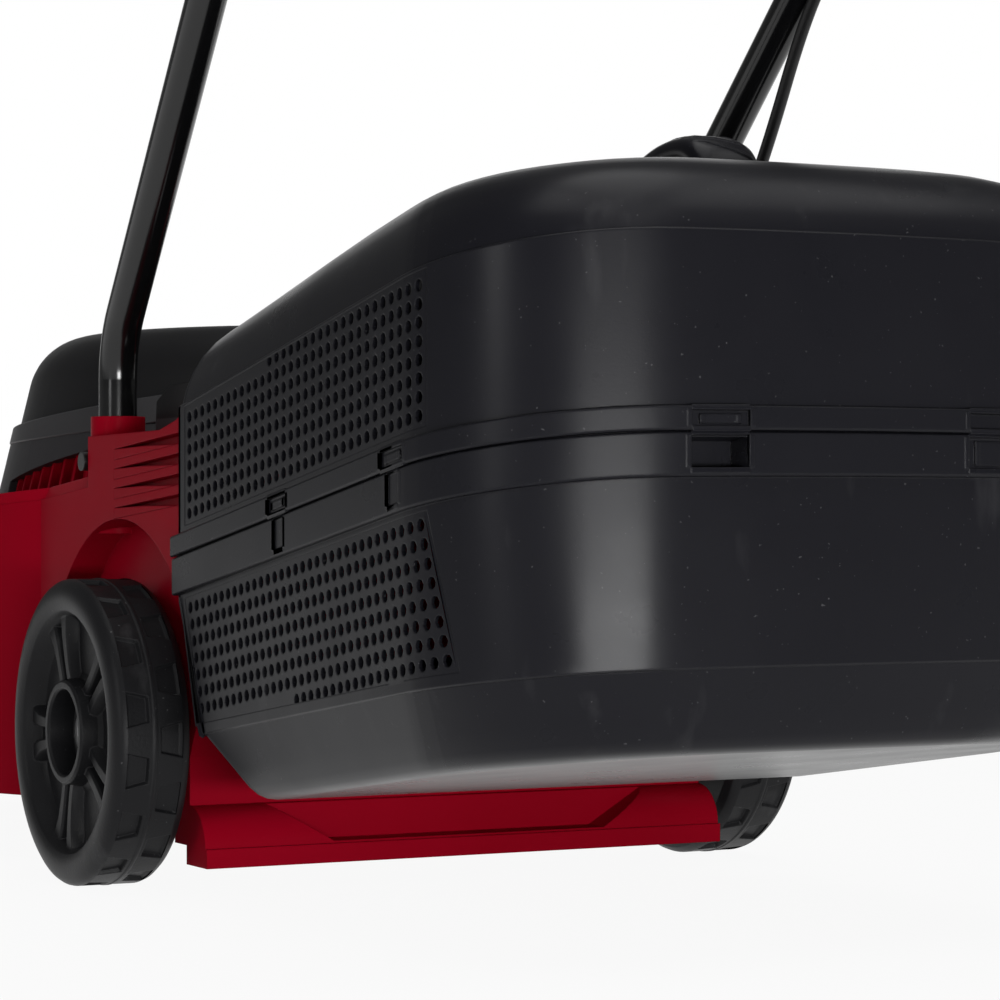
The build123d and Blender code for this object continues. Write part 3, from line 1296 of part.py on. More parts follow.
with BuildPart() as switch_cover:
    add(switch_half(-1))
    with BuildSketch(HANDLE):
        with Locations((BUTTON_X, BUTTON_S)):
            Circle(BUTTON_R + SIDE_PLAY)
    extrude(amount=-2 * SWITCH_DEPTH, mode=Mode.SUBTRACT)

with BuildPart() as lock_button:
    with BuildSketch(HANDLE.offset(-SWITCH_DEPTH - BUTTON_PROUD)):
        with Locations((BUTTON_X, BUTTON_S)):
            Circle(BUTTON_R)
    extrude(amount=BUTTON_L)
    with BuildSketch(HANDLE.offset(-SWITCH_DEPTH + SWITCH_WALL + SIDE_PLAY)):
        with Locations((BUTTON_X, BUTTON_S)):
            Circle(BUTTON_FLANGE_R)
    extrude(amount=BUTTON_FLANGE_T)

with BuildPart() as micro_switch:
    with BuildSketch(HANDLE.offset(SWITCH_DEPTH - SWITCH_WALL)):
        with Locations((MICRO_X, MICRO_S)):
            Rectangle(MICRO_W, MICRO_L)
    extrude(amount=-MICRO_H)

with BuildPart() as mains_inlet:
    with BuildSketch(SWITCH_END):
        with Locations((INLET_X, 0)):
            Circle(INLET_R)
    extrude(amount=INLET_L)
    with BuildSketch(SWITCH_END.offset(INLET_FLOOR_T)):
        with Locations((INLET_X, 0)):
            Circle(INLET_R - INLET_WALL)
    extrude(amount=INLET_L, mode=Mode.SUBTRACT)
    with BuildSketch(SWITCH_END):
        with Locations((INLET_X, 0)):
            Circle(INLET_SPIGOT_R)
    extrude(amount=-INLET_SPIGOT_L)
    with BuildSketch(SWITCH_END.offset(INLET_FLOOR_T - 1)):
        with Locations((INLET_X, 0)):
            with GridLocations(PIN_SPACING, 0, 2, 1):
                Circle(PIN_R)
    extrude(amount=PIN_L + 1)

save(switch_base.part, "switch_base")
save(switch_cover.part, "switch_cover")
save(lock_button.part, "lock_button")
save(micro_switch.part, "micro_switch")
save(mains_inlet.part, "mains_inlet")

# Switch bail and its bracket on the left leg
bail_s = BAIL_PIVOT_S + BAIL_ARM * cos(radians(BAIL_REST_DEG))
bail_depth = BAIL_PIVOT_DEPTH + BAIL_ARM * sin(radians(BAIL_REST_DEG))
bail_run = (
    on_handle(BAIL_RIGHT_X + 2 * BAIL_PIN_L, BAIL_PIVOT_S, BAIL_PIVOT_DEPTH),
    on_handle(BAIL_RIGHT_X, BAIL_PIVOT_S, BAIL_PIVOT_DEPTH),
    on_handle(BAIL_RIGHT_X, bail_s, bail_depth),
    on_handle(BAIL_LEFT_X, bail_s, bail_depth),
    on_handle(BAIL_LEFT_X, BAIL_PIVOT_S, BAIL_PIVOT_DEPTH),
    on_handle(BAIL_LEFT_X - BAIL_PIN_L, BAIL_PIVOT_S, BAIL_PIVOT_DEPTH),
)
bail_bends = (BAIL_BEND_R / 2, BAIL_BEND_R, BAIL_BEND_R, BAIL_BEND_R / 2)
switch_bail = tube(bail_run, bail_bends, BAIL_R)

with BuildPart() as bail_bracket:
    with BuildSketch(HANDLE.offset(-BAIL_BLOCK_UP)):
        with Locations(((BAIL_BLOCK_IN_X + BAIL_BLOCK_OUT_X) / 2, BAIL_PIVOT_S)):
            RectangleRounded(BAIL_BLOCK_IN_X - BAIL_BLOCK_OUT_X, BAIL_BLOCK_L, CLIP_W / 3)
    extrude(amount=BAIL_BLOCK_UP + BAIL_BLOCK_DOWN)
    with BuildSketch(SWITCH_END):
        with Locations((-UPPER_TUBE_X, 0)):
            Circle(TUBE_R + TUBE_FIT)
    extrude(amount=-2 * BAIL_PIVOT_S, mode=Mode.SUBTRACT)
    with Locations(on_handle(BAIL_BLOCK_IN_X, BAIL_PIVOT_S, BAIL_PIVOT_DEPTH)):
        Cylinder(BAIL_R + RUN_FIT, 2 * BAIL_PIN_L, rotation=ACROSS, mode=Mode.SUBTRACT)

save(switch_bail, "switch_bail")
save(bail_bracket.part, "bail_bracket")


# Motor cable from the hood's gland up the right side to the switch box
def cord(name, points):
    """A round cable along straight runs joined by easy arcs."""
    radii = []
    for before, corner, after in zip(points, points[1:], points[2:]):
        into, out = corner - before, after - corner
        turn = radians(into.get_angle(out))
        radii.append(min(CABLE_MAX_R, 0.45 * min(into.length, out.length) / tan(turn / 2)))
    rounded = [round(radius) for radius in radii]
    print(name, "bend radii", rounded)
    save(tube(points, radii, CABLE_R), name)


def cable_clip(centre, along):
    """A strap round a handle tube that holds the cable against its underside."""
    with BuildPart() as clip:
        with BuildSketch(Plane(origin=centre, x_dir=UNDER, z_dir=along)):
            Circle(TUBE_R + CLIP_T)
            with Locations((CABLE_DROP, 0)):
                Circle(CABLE_R + CLIP_T)
            Circle(TUBE_R + PRESS_FIT, mode=Mode.SUBTRACT)
            with Locations((CABLE_DROP, 0)):
                Circle(CABLE_R + PRESS_FIT, mode=Mode.SUBTRACT)
        extrude(amount=CLIP_W / 2, both=True)
    return clip.part


gland = Vector(*GLAND_PLANE.origin)
outward = GLAND_PLANE.z_dir
tube_line = Vector(*lower_tube_point(1, SPLAY_END_Z)) - Vector(*lower_tube_point(1, LOWER_BEND_Z))
clip_point = Vector(*lower_tube_point(1, FIRST_CLIP_Z))
cord(
    "motor_cable_lower",
    [
        gland - outward * GLAND_FLANGE_T,
        gland + outward * CABLE_LEAD,
        *[Vector(*point) for point in CABLE_ROUTE],
        clip_point + UNDER * CABLE_DROP - tube_line.normalized() * CLIP_LEAD,
        Vector(*lower_tube_point(1, SPLAY_END_Z)) + UNDER * CABLE_DROP,
        on_handle(LOWER_TUBE_X, -FOLD_BELOW, CABLE_DROP),
    ],
)
cord(
    "motor_cable_fold",
    [
        on_handle(LOWER_TUBE_X, -FOLD_BELOW, CABLE_DROP),
        on_handle(LOWER_TUBE_X, -FOLD_BELOW / 2, CABLE_DROP),
        on_handle(UPPER_TUBE_X, FOLD_ABOVE * 2 / 3, CABLE_DROP),
        on_handle(UPPER_TUBE_X, FOLD_ABOVE, CABLE_DROP),
    ],
)
cord(
    "motor_cable_upper",
    [
        on_handle(UPPER_TUBE_X, FOLD_ABOVE, CABLE_DROP),
        on_handle(UPPER_TUBE_X, SWITCH_LOW_S - 60, CABLE_DROP),
        on_handle(CABLE_ENTRY_X, SWITCH_LOW_S - 20, BAIL_PIVOT_DEPTH),
        on_handle(CABLE_ENTRY_X, SWITCH_LOW_S + 12, BAIL_PIVOT_DEPTH),
    ],
)

with BuildPart() as cable_clips_lower:
    add(cable_clip(clip_point, tube_line))
    add(cable_clip(on_handle(LOWER_TUBE_X, -FOLD_BELOW - CLIP_W), HANDLE.y_dir))

with BuildPart() as cable_clips_upper:
    for place in UPPER_CLIPS:
        add(cable_clip(on_handle(UPPER_TUBE_X, place), HANDLE.y_dir))

save(cable_clips_lower.part, "cable_clips_lower")
save(cable_clips_upper.part, "cable_clips_upper")
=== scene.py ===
import json
import math

import bpy
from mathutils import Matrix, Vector


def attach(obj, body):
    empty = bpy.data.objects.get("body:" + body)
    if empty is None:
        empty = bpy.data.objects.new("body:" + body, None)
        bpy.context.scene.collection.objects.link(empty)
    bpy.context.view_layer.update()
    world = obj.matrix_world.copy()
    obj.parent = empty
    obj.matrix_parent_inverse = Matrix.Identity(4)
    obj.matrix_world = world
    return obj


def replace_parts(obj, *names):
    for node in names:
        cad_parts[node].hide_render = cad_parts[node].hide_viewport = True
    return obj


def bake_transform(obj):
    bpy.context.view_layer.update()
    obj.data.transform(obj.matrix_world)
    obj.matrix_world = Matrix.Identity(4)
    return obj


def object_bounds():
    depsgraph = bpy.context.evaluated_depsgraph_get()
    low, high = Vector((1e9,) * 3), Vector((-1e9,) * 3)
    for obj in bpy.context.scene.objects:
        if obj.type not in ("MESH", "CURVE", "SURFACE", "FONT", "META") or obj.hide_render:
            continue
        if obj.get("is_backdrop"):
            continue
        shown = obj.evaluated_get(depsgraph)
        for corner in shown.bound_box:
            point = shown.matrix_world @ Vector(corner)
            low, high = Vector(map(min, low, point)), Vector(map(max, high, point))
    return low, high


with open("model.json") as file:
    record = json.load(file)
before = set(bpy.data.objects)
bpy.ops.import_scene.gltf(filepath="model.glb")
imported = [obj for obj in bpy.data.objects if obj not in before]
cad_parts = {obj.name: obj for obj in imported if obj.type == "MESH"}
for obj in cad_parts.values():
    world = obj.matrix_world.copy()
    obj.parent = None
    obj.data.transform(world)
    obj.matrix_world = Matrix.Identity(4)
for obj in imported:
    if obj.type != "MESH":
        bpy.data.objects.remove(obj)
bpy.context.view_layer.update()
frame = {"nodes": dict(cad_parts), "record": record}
MM = 0.001

# Sizes shared with the solids, in millimetres
LEAN = math.radians(42.97)
SIN_LEAN, COS_LEAN = math.sin(LEAN), math.cos(LEAN)
SOCKET_X, SOCKET_Y = 135.0, 40.0
BEND_Z = 250.0
SPLAY = 0.0711
SPLAY_END_Z = 487.0
PIVOT_Z = 545.0
PIVOT_Y = SOCKET_Y - math.tan(LEAN) * (PIVOT_Z - BEND_Z)
LOWER_X = SOCKET_X + SPLAY * (SPLAY_END_Z - BEND_Z)
UPPER_INSET = 18.4
UPPER_X = LOWER_X - UPPER_INSET
CABLE_DROP = 12.4
CABLE_R = 3.0
BOX_FRONT_Y = -85.0
KEEL_FRONT_Y = -113.0
SEAM_Z, SEAM_SLOPE = 150.0, 0.162
UPPER_CREASE_Z, UPPER_SLOPE = 216.0, 0.192
LOWER_CREASE_Z, LOWER_SLOPE = 75.0, 0.136
HOOD_BASE_Z, HOOD_A, HOOD_B, HOOD_Y = 150.0, 132.0, 164.0, 200.0
HOOD_TAPER = math.tan(math.radians(13.5))
HOOD_STEP = 3.0
TONE_Z = 213.8
WHEELBASE = 380.0


def seam_z(y):
    return SEAM_Z + SEAM_SLOPE * (BOX_FRONT_Y - y)


def upper_crease_z(y):
    return UPPER_CREASE_Z + UPPER_SLOPE * (BOX_FRONT_Y - y)


def lower_crease_z(y):
    return LOWER_CREASE_Z + LOWER_SLOPE * (KEEL_FRONT_Y - y)


def on_handle(x, along, depth):
    """A point beside the folding handle: so far up from its pivot, so deep under its tubes."""
    y = PIVOT_Y - along * SIN_LEAN - depth * COS_LEAN
    z = PIVOT_Z + along * COS_LEAN - depth * SIN_LEAN
    return Vector((x, y, z))


# Materials
class Graph:
    """A material's nodes, made and joined in short steps."""

    def __init__(self, name):
        self.material = bpy.data.materials.new(name)
        self.material.use_nodes = True
        self.nodes = self.material.node_tree.nodes
        self.links = self.material.node_tree.links
        self.shader = self.nodes["Principled BSDF"]
        self.coords = self.nodes.new("ShaderNodeTexCoord").outputs["Object"]

    def join(self, out, target):
        self.links.new(out, target)

    def noise(self, scale, detail=3.0, stretch=None):
        node = self.nodes.new("ShaderNodeTexNoise")
        node.inputs["Scale"].default_value = scale
        node.inputs["Detail"].default_value = detail
        source = self.coords
        if stretch:
            mapping = self.nodes.new("ShaderNodeMapping")
            mapping.inputs["Scale"].default_value = stretch
            self.join(source, mapping.inputs["Vector"])
            source = mapping.outputs["Vector"]
        self.join(source, node.inputs["Vector"])
        return node.outputs["Fac"]

    def spread(self, value, low, high, start=0.3, end=0.7):
        node = self.nodes.new("ShaderNodeMapRange")
        node.inputs["From Min"].default_value = start
        node.inputs["From Max"].default_value = end
        node.inputs["To Min"].default_value = low
        node.inputs["To Max"].default_value = high
        self.join(value, node.inputs["Value"])
        return node.outputs["Result"]

    def mix(self, amount, first, second):
        node = self.nodes.new("ShaderNodeMix")
        node.data_type = "RGBA"
        self.join(amount, node.inputs["Factor"])
        for socket, value in ((node.inputs[6], first), (node.inputs[7], second)):
            if isinstance(value, tuple):
                socket.default_value = (*value, 1.0)
            else:
                self.join(value, socket)
        return node.outputs[2]

    def bump(self, height, strength, distance, edge):
        node = self.nodes.new("ShaderNodeBump")
        node.inputs["Strength"].default_value = strength
        node.inputs["Distance"].default_value = distance
        rounded = self.nodes.new("ShaderNodeBevel")
        rounded.samples = 4
        rounded.inputs["Radius"].default_value = edge
        self.join(rounded.outputs["Normal"], node.inputs["Normal"])
        self.join(height, node.inputs["Height"])
        self.join(node.outputs["Normal"], self.shader.inputs["Normal"])


RUBBED = (0.3, 0.3, 0.31)
EDGE_R = 0.0009
WORN_EDGE = 0.0006
TONE_EDGE = 0.0003
BUMP_DEPTH = 0.0004


def edge_mask(graph, radius):
    """Near 1 beside sharp edges and 0 elsewhere, from how far a rounded normal turns."""
    rounded = graph.nodes.new("ShaderNodeBevel")
    rounded.samples = 4
    rounded.inputs["Radius"].default_value = radius
    flat = graph.nodes.new("ShaderNodeNewGeometry")
    facing = graph.nodes.new("ShaderNodeVectorMath")
    facing.operation = "DOT_PRODUCT"
    graph.join(rounded.outputs["Normal"], facing.inputs[0])
    graph.join(flat.outputs["Normal"], facing.inputs[1])
    return graph.spread(facing.outputs["Value"], 1.0, 0.0, 0.75, 0.985)


def plastic(
    name,
    colour,
    worn,
    rough,
    grain=1500.0,
    bump=0.12,
    scuff=0.0,
    specks=0.0,
    rubbed=0.0,
    specular=0.5,
    metal=0.0,
    lower=None,
):
    """Moulded plastic or metal with drifting tone, fine grain, patchy sheen, rubbed edges and scuffs."""
    graph = Graph(name)
    tone = graph.spread(graph.noise(7.0, 4.0), 0.0, 1.0)
    base = graph.mix(tone, colour, worn)
    if lower:
        height, pale = lower
        split = graph.nodes.new("ShaderNodeSeparateXYZ")
        graph.join(graph.coords, split.inputs["Vector"])
        below = graph.spread(split.outputs["Z"], 1.0, 0.0, height - TONE_EDGE, height + TONE_EDGE)
        base = graph.mix(below, base, pale)
    if rubbed:
        patchy = graph.spread(graph.noise(90.0, 3.0), 0.2, 1.0)
        edges = graph.nodes.new("ShaderNodeMath")
        edges.operation = "MULTIPLY"
        graph.join(edge_mask(graph, WORN_EDGE), edges.inputs[0])
        graph.join(patchy, edges.inputs[1])
        amount = graph.spread(edges.outputs["Value"], 0.0, rubbed, 0.0, 1.0)
        base = graph.mix(amount, base, RUBBED)
    if scuff:
        streak = graph.spread(graph.noise(55.0, 6.0, (1.0, 1.0, 0.25)), 0.0, scuff, 0.62, 0.8)
        base = graph.mix(streak, base, RUBBED)
    if specks:
        dust = graph.spread(graph.noise(620.0, 1.0), 0.0, specks, 0.76, 0.785)
        base = graph.mix(dust, base, RUBBED)
    graph.join(base, graph.shader.inputs["Base Color"])
    sheen = graph.spread(graph.noise(26.0, 5.0), rough - 0.025, rough + 0.035)
    graph.join(sheen, graph.shader.inputs["Roughness"])
    graph.shader.inputs["Metallic"].default_value = metal
    graph.shader.inputs["Specular IOR Level"].default_value = specular
    graph.bump(graph.noise(grain, 2.0), bump, BUMP_DEPTH, EDGE_R)
    return graph.material


LOOKS = {
    "red_plastic": plastic(
        "red_plastic", (0.287, 0.00137, 0.0119), (0.25, 0.001, 0.00875), 0.36, specular=0.02,
    ),
    "hood_plastic": plastic(
        "hood_plastic", (0.00812, 0.008, 0.00906), (0.0106, 0.0106, 0.0112), 0.5, 1100.0, 0.2,
        specular=0.14, lower=(TONE_Z * MM, (0.031, 0.0307, 0.033)),
    ),
    "box_plastic": plastic(
        "box_plastic", (0.00644, 0.00644, 0.00887), (0.00825, 0.00825, 0.0107), 0.29, 1300.0,
        0.05, scuff=0.05, specks=0.14, rubbed=0.07, specular=0.125,
    ),
    "wheel_plastic": plastic(
        "wheel_plastic", (0.00781, 0.00781, 0.00875), (0.0112, 0.0112, 0.0122), 0.42, 900.0,
        0.22, scuff=0.1, specks=0.2, rubbed=0.07, specular=0.13,
    ),
    "painted_tube": plastic(
        "painted_tube", (0.0025, 0.0025, 0.00281), (0.00375, 0.00375, 0.00406), 0.16, 500.0,
        0.02, specular=0.45,
    ),
    "black_plastic": plastic(
        "black_plastic", (0.0075, 0.0075, 0.00844), (0.0106, 0.0106, 0.0116), 0.42,
        specular=0.25,
    ),
    "button_plastic": plastic(
        "button_plastic", (0.312, 0.0187, 0.0125), (0.275, 0.0156, 0.00937), 0.3, specular=0.3,
    ),
    "steel": plastic("steel", (0.5, 0.5, 0.5), (0.4, 0.4, 0.41), 0.32, 700.0, 0.08, metal=1.0),
    "iron": plastic("iron", (0.2, 0.2, 0.21), (0.14, 0.14, 0.15), 0.45, 600.0, 0.15, metal=1.0),
    "copper": plastic("copper", (0.6, 0.3, 0.14), (0.5, 0.24, 0.1), 0.3, 800.0, 0.08, metal=1.0),
    "cable_rubber": plastic(
        "cable_rubber", (0.005, 0.005, 0.00562), (0.0075, 0.0075, 0.0075), 0.4, 1200.0, 0.1,
        specular=0.3,
    ),
}
PALE_HOOD = plastic(
    "pale_hood", (0.0312, 0.0309, 0.0331), (0.0362, 0.0362, 0.0387), 0.5, 1100.0, 0.2,
    specular=0.3,
)
BLACK_SCREW = plastic(
    "black_screw", (0.005, 0.005, 0.00531), (0.0075, 0.0075, 0.00781), 0.3, 700.0, 0.08,
    specular=0.35,
)
slots = {part["node"]: part["material_slot"] for part in frame["record"]["subparts"]}


def dress(obj, slot):
    obj.data.materials.clear()
    obj.data.materials.append(LOOKS[slot])


for node, obj in frame["nodes"].items():
    dress(obj, slots[node])
for node in ("handle_screws", "hood_screws"):
    frame["nodes"][node].data.materials[0] = BLACK_SCREW


class Sheet:
    """Vertices in millimetres and faces of one mesh, gathered grid by grid."""

    def __init__(self):
        self.verts, self.faces = [], []

    def grid(self, rows, skip=None, closed=False):
        """Rows of points from the bottom up, each from left to right seen from outside."""
        start, width = len(self.verts), len(rows[0])
        for row in rows:
            self.verts.extend(row)
        for j in range(len(rows) - 1):
            for i in range(width if closed else width - 1):
                if skip and skip(i, j):
                    continue
                here, beside = start + j * width + i, start + j * width + (i + 1) % width
                self.faces.append((here, beside, beside + width, here + width))

    def fill(self, points):
        start = len(self.verts)
        self.verts.extend(points)
        self.faces.append(tuple(range(start, start + len(points))))

    def piece(self, name, slot, body, sharp=32.0, wall=0.0, mirrored=False):
        """The finished piece, smooth except at sharp edges, riding a body."""
        mesh = bpy.data.meshes.new(name)
        faces = [tuple(reversed(face)) for face in self.faces] if mirrored else self.faces
        mesh.from_pydata([Vector(v) * MM for v in self.verts], [], faces)
        mesh.update()
        mesh.shade_smooth()
        mesh.set_sharp_from_angle(angle=math.radians(sharp))
        obj = bpy.data.objects.new(name, mesh)
        bpy.context.scene.collection.objects.link(obj)
        dress(obj, slot)
        if wall:
            thick = obj.modifiers.new("wall", "SOLIDIFY")
            thick.thickness = wall * MM
            thick.offset = -1.0
            edges = obj.modifiers.new("edges", "EDGE_SPLIT")
            edges.split_angle = math.radians(sharp)
        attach(obj, body)
        return obj


# Grass box, drawn on its outline in plan
BOX_X = 155.0
BOX_REAR_Y = -387.0
CORNER_R = 78.0
REAR_R = 1300.0
BOX_WALL = 2.0
MOUTH_X = 118.0
MOUTH_LOW_Z = 104.0
MOUTH_TOP_Z = 208.0
RAKE_Z = 131.0
rear_centre_y = BOX_REAR_Y + REAR_R
corner_x = BOX_X - CORNER_R
corner_y = rear_centre_y - math.sqrt((REAR_R - CORNER_R) ** 2 - corner_x**2)
rear_turn = math.asin(corner_x / (REAR_R - CORNER_R))
SIDE_RUN = BOX_FRONT_Y - corner_y
CORNER_RUN = CORNER_R * (math.pi / 2 - rear_turn)
HALF_RUN = SIDE_RUN + CORNER_RUN + REAR_R * rear_turn


def outline(run, out):
    """A point of the box's outline, a run along it from the left front, pushed out by so much."""
    if run > HALF_RUN:
        x, y = outline(2 * HALF_RUN - run, out)
        return -x, y
    if run < SIDE_RUN:
        return -BOX_X - out, BOX_FRONT_Y - run
    if run < SIDE_RUN + CORNER_RUN:
        turn = (run - SIDE_RUN) / CORNER_R
        radius = CORNER_R + out
        return -corner_x - radius * math.cos(turn), corner_y - radius * math.sin(turn)
    turn = rear_turn - (run - SIDE_RUN - CORNER_RUN) / REAR_R
    radius = REAR_R + out
    return -radius * math.sin(turn), rear_centre_y - radius * math.cos(turn)


def on_box(run, level, up, out):
    x, y = outline(run, out)
    return x, y, level(y) + up


def ring_point(run, inset, round_more, front):
    """A point of an outline set in from the box's, with rounder corners and its own front."""
    if run > HALF_RUN:
        x, y = ring_point(2 * HALF_RUN - run, inset, round_more, front)
        return -x, y
    edge, radius, rear = BOX_X - inset, CORNER_R - inset + round_more, REAR_R - inset
    centre_x = edge - radius
    turn_end = math.asin(centre_x / (rear - radius))
    centre_y = rear_centre_y - (rear - radius) * math.cos(turn_end)
    if run < SIDE_RUN:
        return -edge, front + (centre_y - front) * run / SIDE_RUN
    if run < SIDE_RUN + CORNER_RUN:
        turn = (math.pi / 2 - turn_end) * (run - SIDE_RUN) / CORNER_RUN
        return -centre_x - radius * math.cos(turn), centre_y - radius * math.sin(turn)
    turn = turn_end * (HALF_RUN - run) / (HALF_RUN - SIDE_RUN - CORNER_RUN)
    return -rear * math.sin(turn), rear_centre_y - rear * math.cos(turn)


BOW_LEAN = 1.5


def domed(run, level, slope, height, inset, round_more, front, bow):
    """A point of the crown or keel: off a sloping plane by a height that bows along the box."""
    x, y = ring_point(run, inset, round_more, front)
    along = (BOX_FRONT_Y - y) / (BOX_FRONT_Y - BOX_REAR_Y)
    height *= 1.0 + bow * math.sin(math.pi * min(max(along, 0.0), 1.0) ** BOW_LEAN)
    tilt = math.hypot(1.0, slope)
    return x, y + slope * height / tilt, level(y) + height / tilt


# Runs along the outline where something starts or ends, and heights of the grilles' windows
GRILLE_RUN = (7.0, 239.0)
GRILLE_SHIFT = 17.0
UPPER_WINDOW = (13.0, -1.8)
LOWER_WINDOW = (5.0, -18.6)
REAR_LATCH_HALF = 12.0
SIDE_TAB_HALF, SIDE_SLOT_HALF = 9.0, 4.5
SIDE_LATCH_RUN = (114.0, 220.0)
REAR_LATCH_RUN = (HALF_RUN - 65.0, HALF_RUN + 57.0)
TURNED_LATCH = REAR_LATCH_RUN[1]
SPARE_RUNS = (60.0, 170.0)
CORNER_STEPS = 14


def box_runs():
    """Places of the upright lines of the box's wall, the same on both sides."""
    places = {0.0, *SPARE_RUNS, HALF_RUN, *GRILLE_RUN}
    edges = [(latch, half) for latch in SIDE_LATCH_RUN for half in (SIDE_TAB_HALF, SIDE_SLOT_HALF)]
    edges += [(latch, REAR_LATCH_HALF) for latch in REAR_LATCH_RUN]
    for latch, half in edges:
        for edge in (latch - half, latch + half):
            places.add(min(edge, 2 * HALF_RUN - edge))
    for step in range(CORNER_STEPS + 1):
        places.add(SIDE_RUN + CORNER_RUN * step / CORNER_STEPS)
    half = sorted(places)
    return half + [2 * HALF_RUN - run for run in reversed(half[:-1])]


RUNS = box_runs()
SIDE_LATCHES = [*SIDE_LATCH_RUN, *(2 * HALF_RUN - run for run in SIDE_LATCH_RUN)]
TABS = [(run, SIDE_TAB_HALF) for run in SIDE_LATCHES] + [(run, REAR_LATCH_HALF) for run in REAR_LATCH_RUN]
WELLS = [(run, SIDE_SLOT_HALF) for run in SIDE_LATCHES] + [(run, REAR_LATCH_HALF) for run in REAR_LATCH_RUN]


def between(run, edges):
    middle = min(run, 2 * HALF_RUN - run)
    return edges[0] < middle < edges[1]


def in_latch(run, latches):
    return any(abs(run - latch) < half for latch, half in latches)


def pocket_depth(latch, half, turned, rear, side):
    if latch == TURNED_LATCH:
        return turned
    return rear if half == REAR_LATCH_HALF else side


RUN_SLACK = 0.01
TAB_MARGIN = 0.14
TAB_GAP_LOW, TAB_GAP_HIGH = 1.2, 1.5
TAB_SUNK = 0.5


def pocket(sheet, latch, half, level, low, high, out, depth, tab):
    """A sunk window in a flange, with a clip's tab in it where asked."""
    runs = [run for run in RUNS if abs(run - latch) < half + RUN_SLACK]
    deep = out - depth

    def well(edges, low, high, top, floor):
        lines = ((low, top), (low, floor), (high, floor), (high, top))
        sheet.grid([[on_box(run, level, up, far) for run in edges] for up, far in lines])
        for run, order in ((edges[0], 1), (edges[-1], -1)):
            corners = ((low, floor), (high, floor), (high, top), (low, top))[::order]
            sheet.fill([on_box(run, level, up, far) for up, far in corners])

    well(runs, low, high, out, deep)
    if tab:
        margin = TAB_MARGIN * (runs[-1] - runs[0])
        inner = [runs[0] + margin, runs[-1] - margin]
        well(inner, low + TAB_GAP_LOW, high - TAB_GAP_HIGH, deep, out - TAB_SUNK)


def front_wall(sheet, lines, mouth):
    """The wall at the box's mouth, as rows of (y, z), open between the mouth's edges."""
    across = (BOX_X, MOUTH_X, -MOUTH_X, -BOX_X)
    sheet.grid([[(x, y, z) for x in across] for y, z in lines], lambda i, j: i == 1 and j in mouth)


def cap(sheet, rings):
    """Closes the front of a crown or keel between its two ends, ring by ring."""
    sheet.grid([[ring[-1], ring[0]] for ring in rings])


# Upper half with its flange and domed crown
FLANGE_UP = 9.3
FLANGE_OUT = 4.0
SEAM_GAP = 0.25
TAB_LOW, TAB_HIGH = 1.6, 7.6
lid = Sheet()
lid_lines = [
    (seam_z, SEAM_GAP, 1.0),
    (seam_z, SEAM_GAP, FLANGE_OUT - 0.6),
    (seam_z, 0.9, FLANGE_OUT),
    (seam_z, TAB_LOW, FLANGE_OUT),
    (seam_z, TAB_HIGH, FLANGE_OUT),
    (seam_z, FLANGE_UP - 0.7, FLANGE_OUT),
    (seam_z, FLANGE_UP, FLANGE_OUT - 0.7),
    (seam_z, FLANGE_UP, 0.0),
    (seam_z, UPPER_WINDOW[0], 0.0),
    (upper_crease_z, UPPER_WINDOW[1], 0.0),
    (upper_crease_z, -0.7, 0.0),
    (upper_crease_z, 0.0, -0.6),
    (upper_crease_z, 0.0, -1.3),
]
LID_TAB_ROW, LID_WINDOW_ROW = 3, 8


def lid_open(i, j):
    middle = (RUNS[i] + RUNS[i + 1]) / 2
    at_tab = j == LID_TAB_ROW and in_latch(middle, TABS)
    return at_tab or (j == LID_WINDOW_ROW and between(middle, GRILLE_RUN))


lid.grid([[on_box(run, *line) for run in RUNS] for line in lid_lines], lid_open)
for latch, half in TABS:
    depth = pocket_depth(latch, half, turned=2.4, rear=1.6, side=1.0)
    pocket(lid, latch, half, seam_z, TAB_LOW, TAB_HIGH, FLANGE_OUT, depth, latch != TURNED_LATCH)
CROWN = [(0.0, 1.3), (7.0, 3.0), (14.0, 5.8), (20.0, 9.3), (25.0, 13.6), (29.0, 19.0)]
CROWN += [(32.2, 26.0), (34.8, 35.0), (36.6, 46.0), (37.8, 59.0), (38.4, 74.0)]
CROWN_BOW = 0.16
CROWN_ROUND = 0.9
rings = []
for height, inset in CROWN:
    shape = (UPPER_SLOPE, height, inset, CROWN_ROUND * inset, BOX_FRONT_Y - inset, CROWN_BOW)
    rings.append([domed(run, upper_crease_z, *shape) for run in RUNS])
lid.grid(rings)
cap(lid, rings)
lid.fill(rings[-1])
heights = (seam_z(BOX_FRONT_Y) + SEAM_GAP, MOUTH_TOP_Z, upper_crease_z(BOX_FRONT_Y))
front_wall(lid, [(BOX_FRONT_Y, z) for z in heights], (0,))
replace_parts(lid.piece("grass_box_lid", "box_plastic", "grass_box", wall=BOX_WALL), "box_upper")

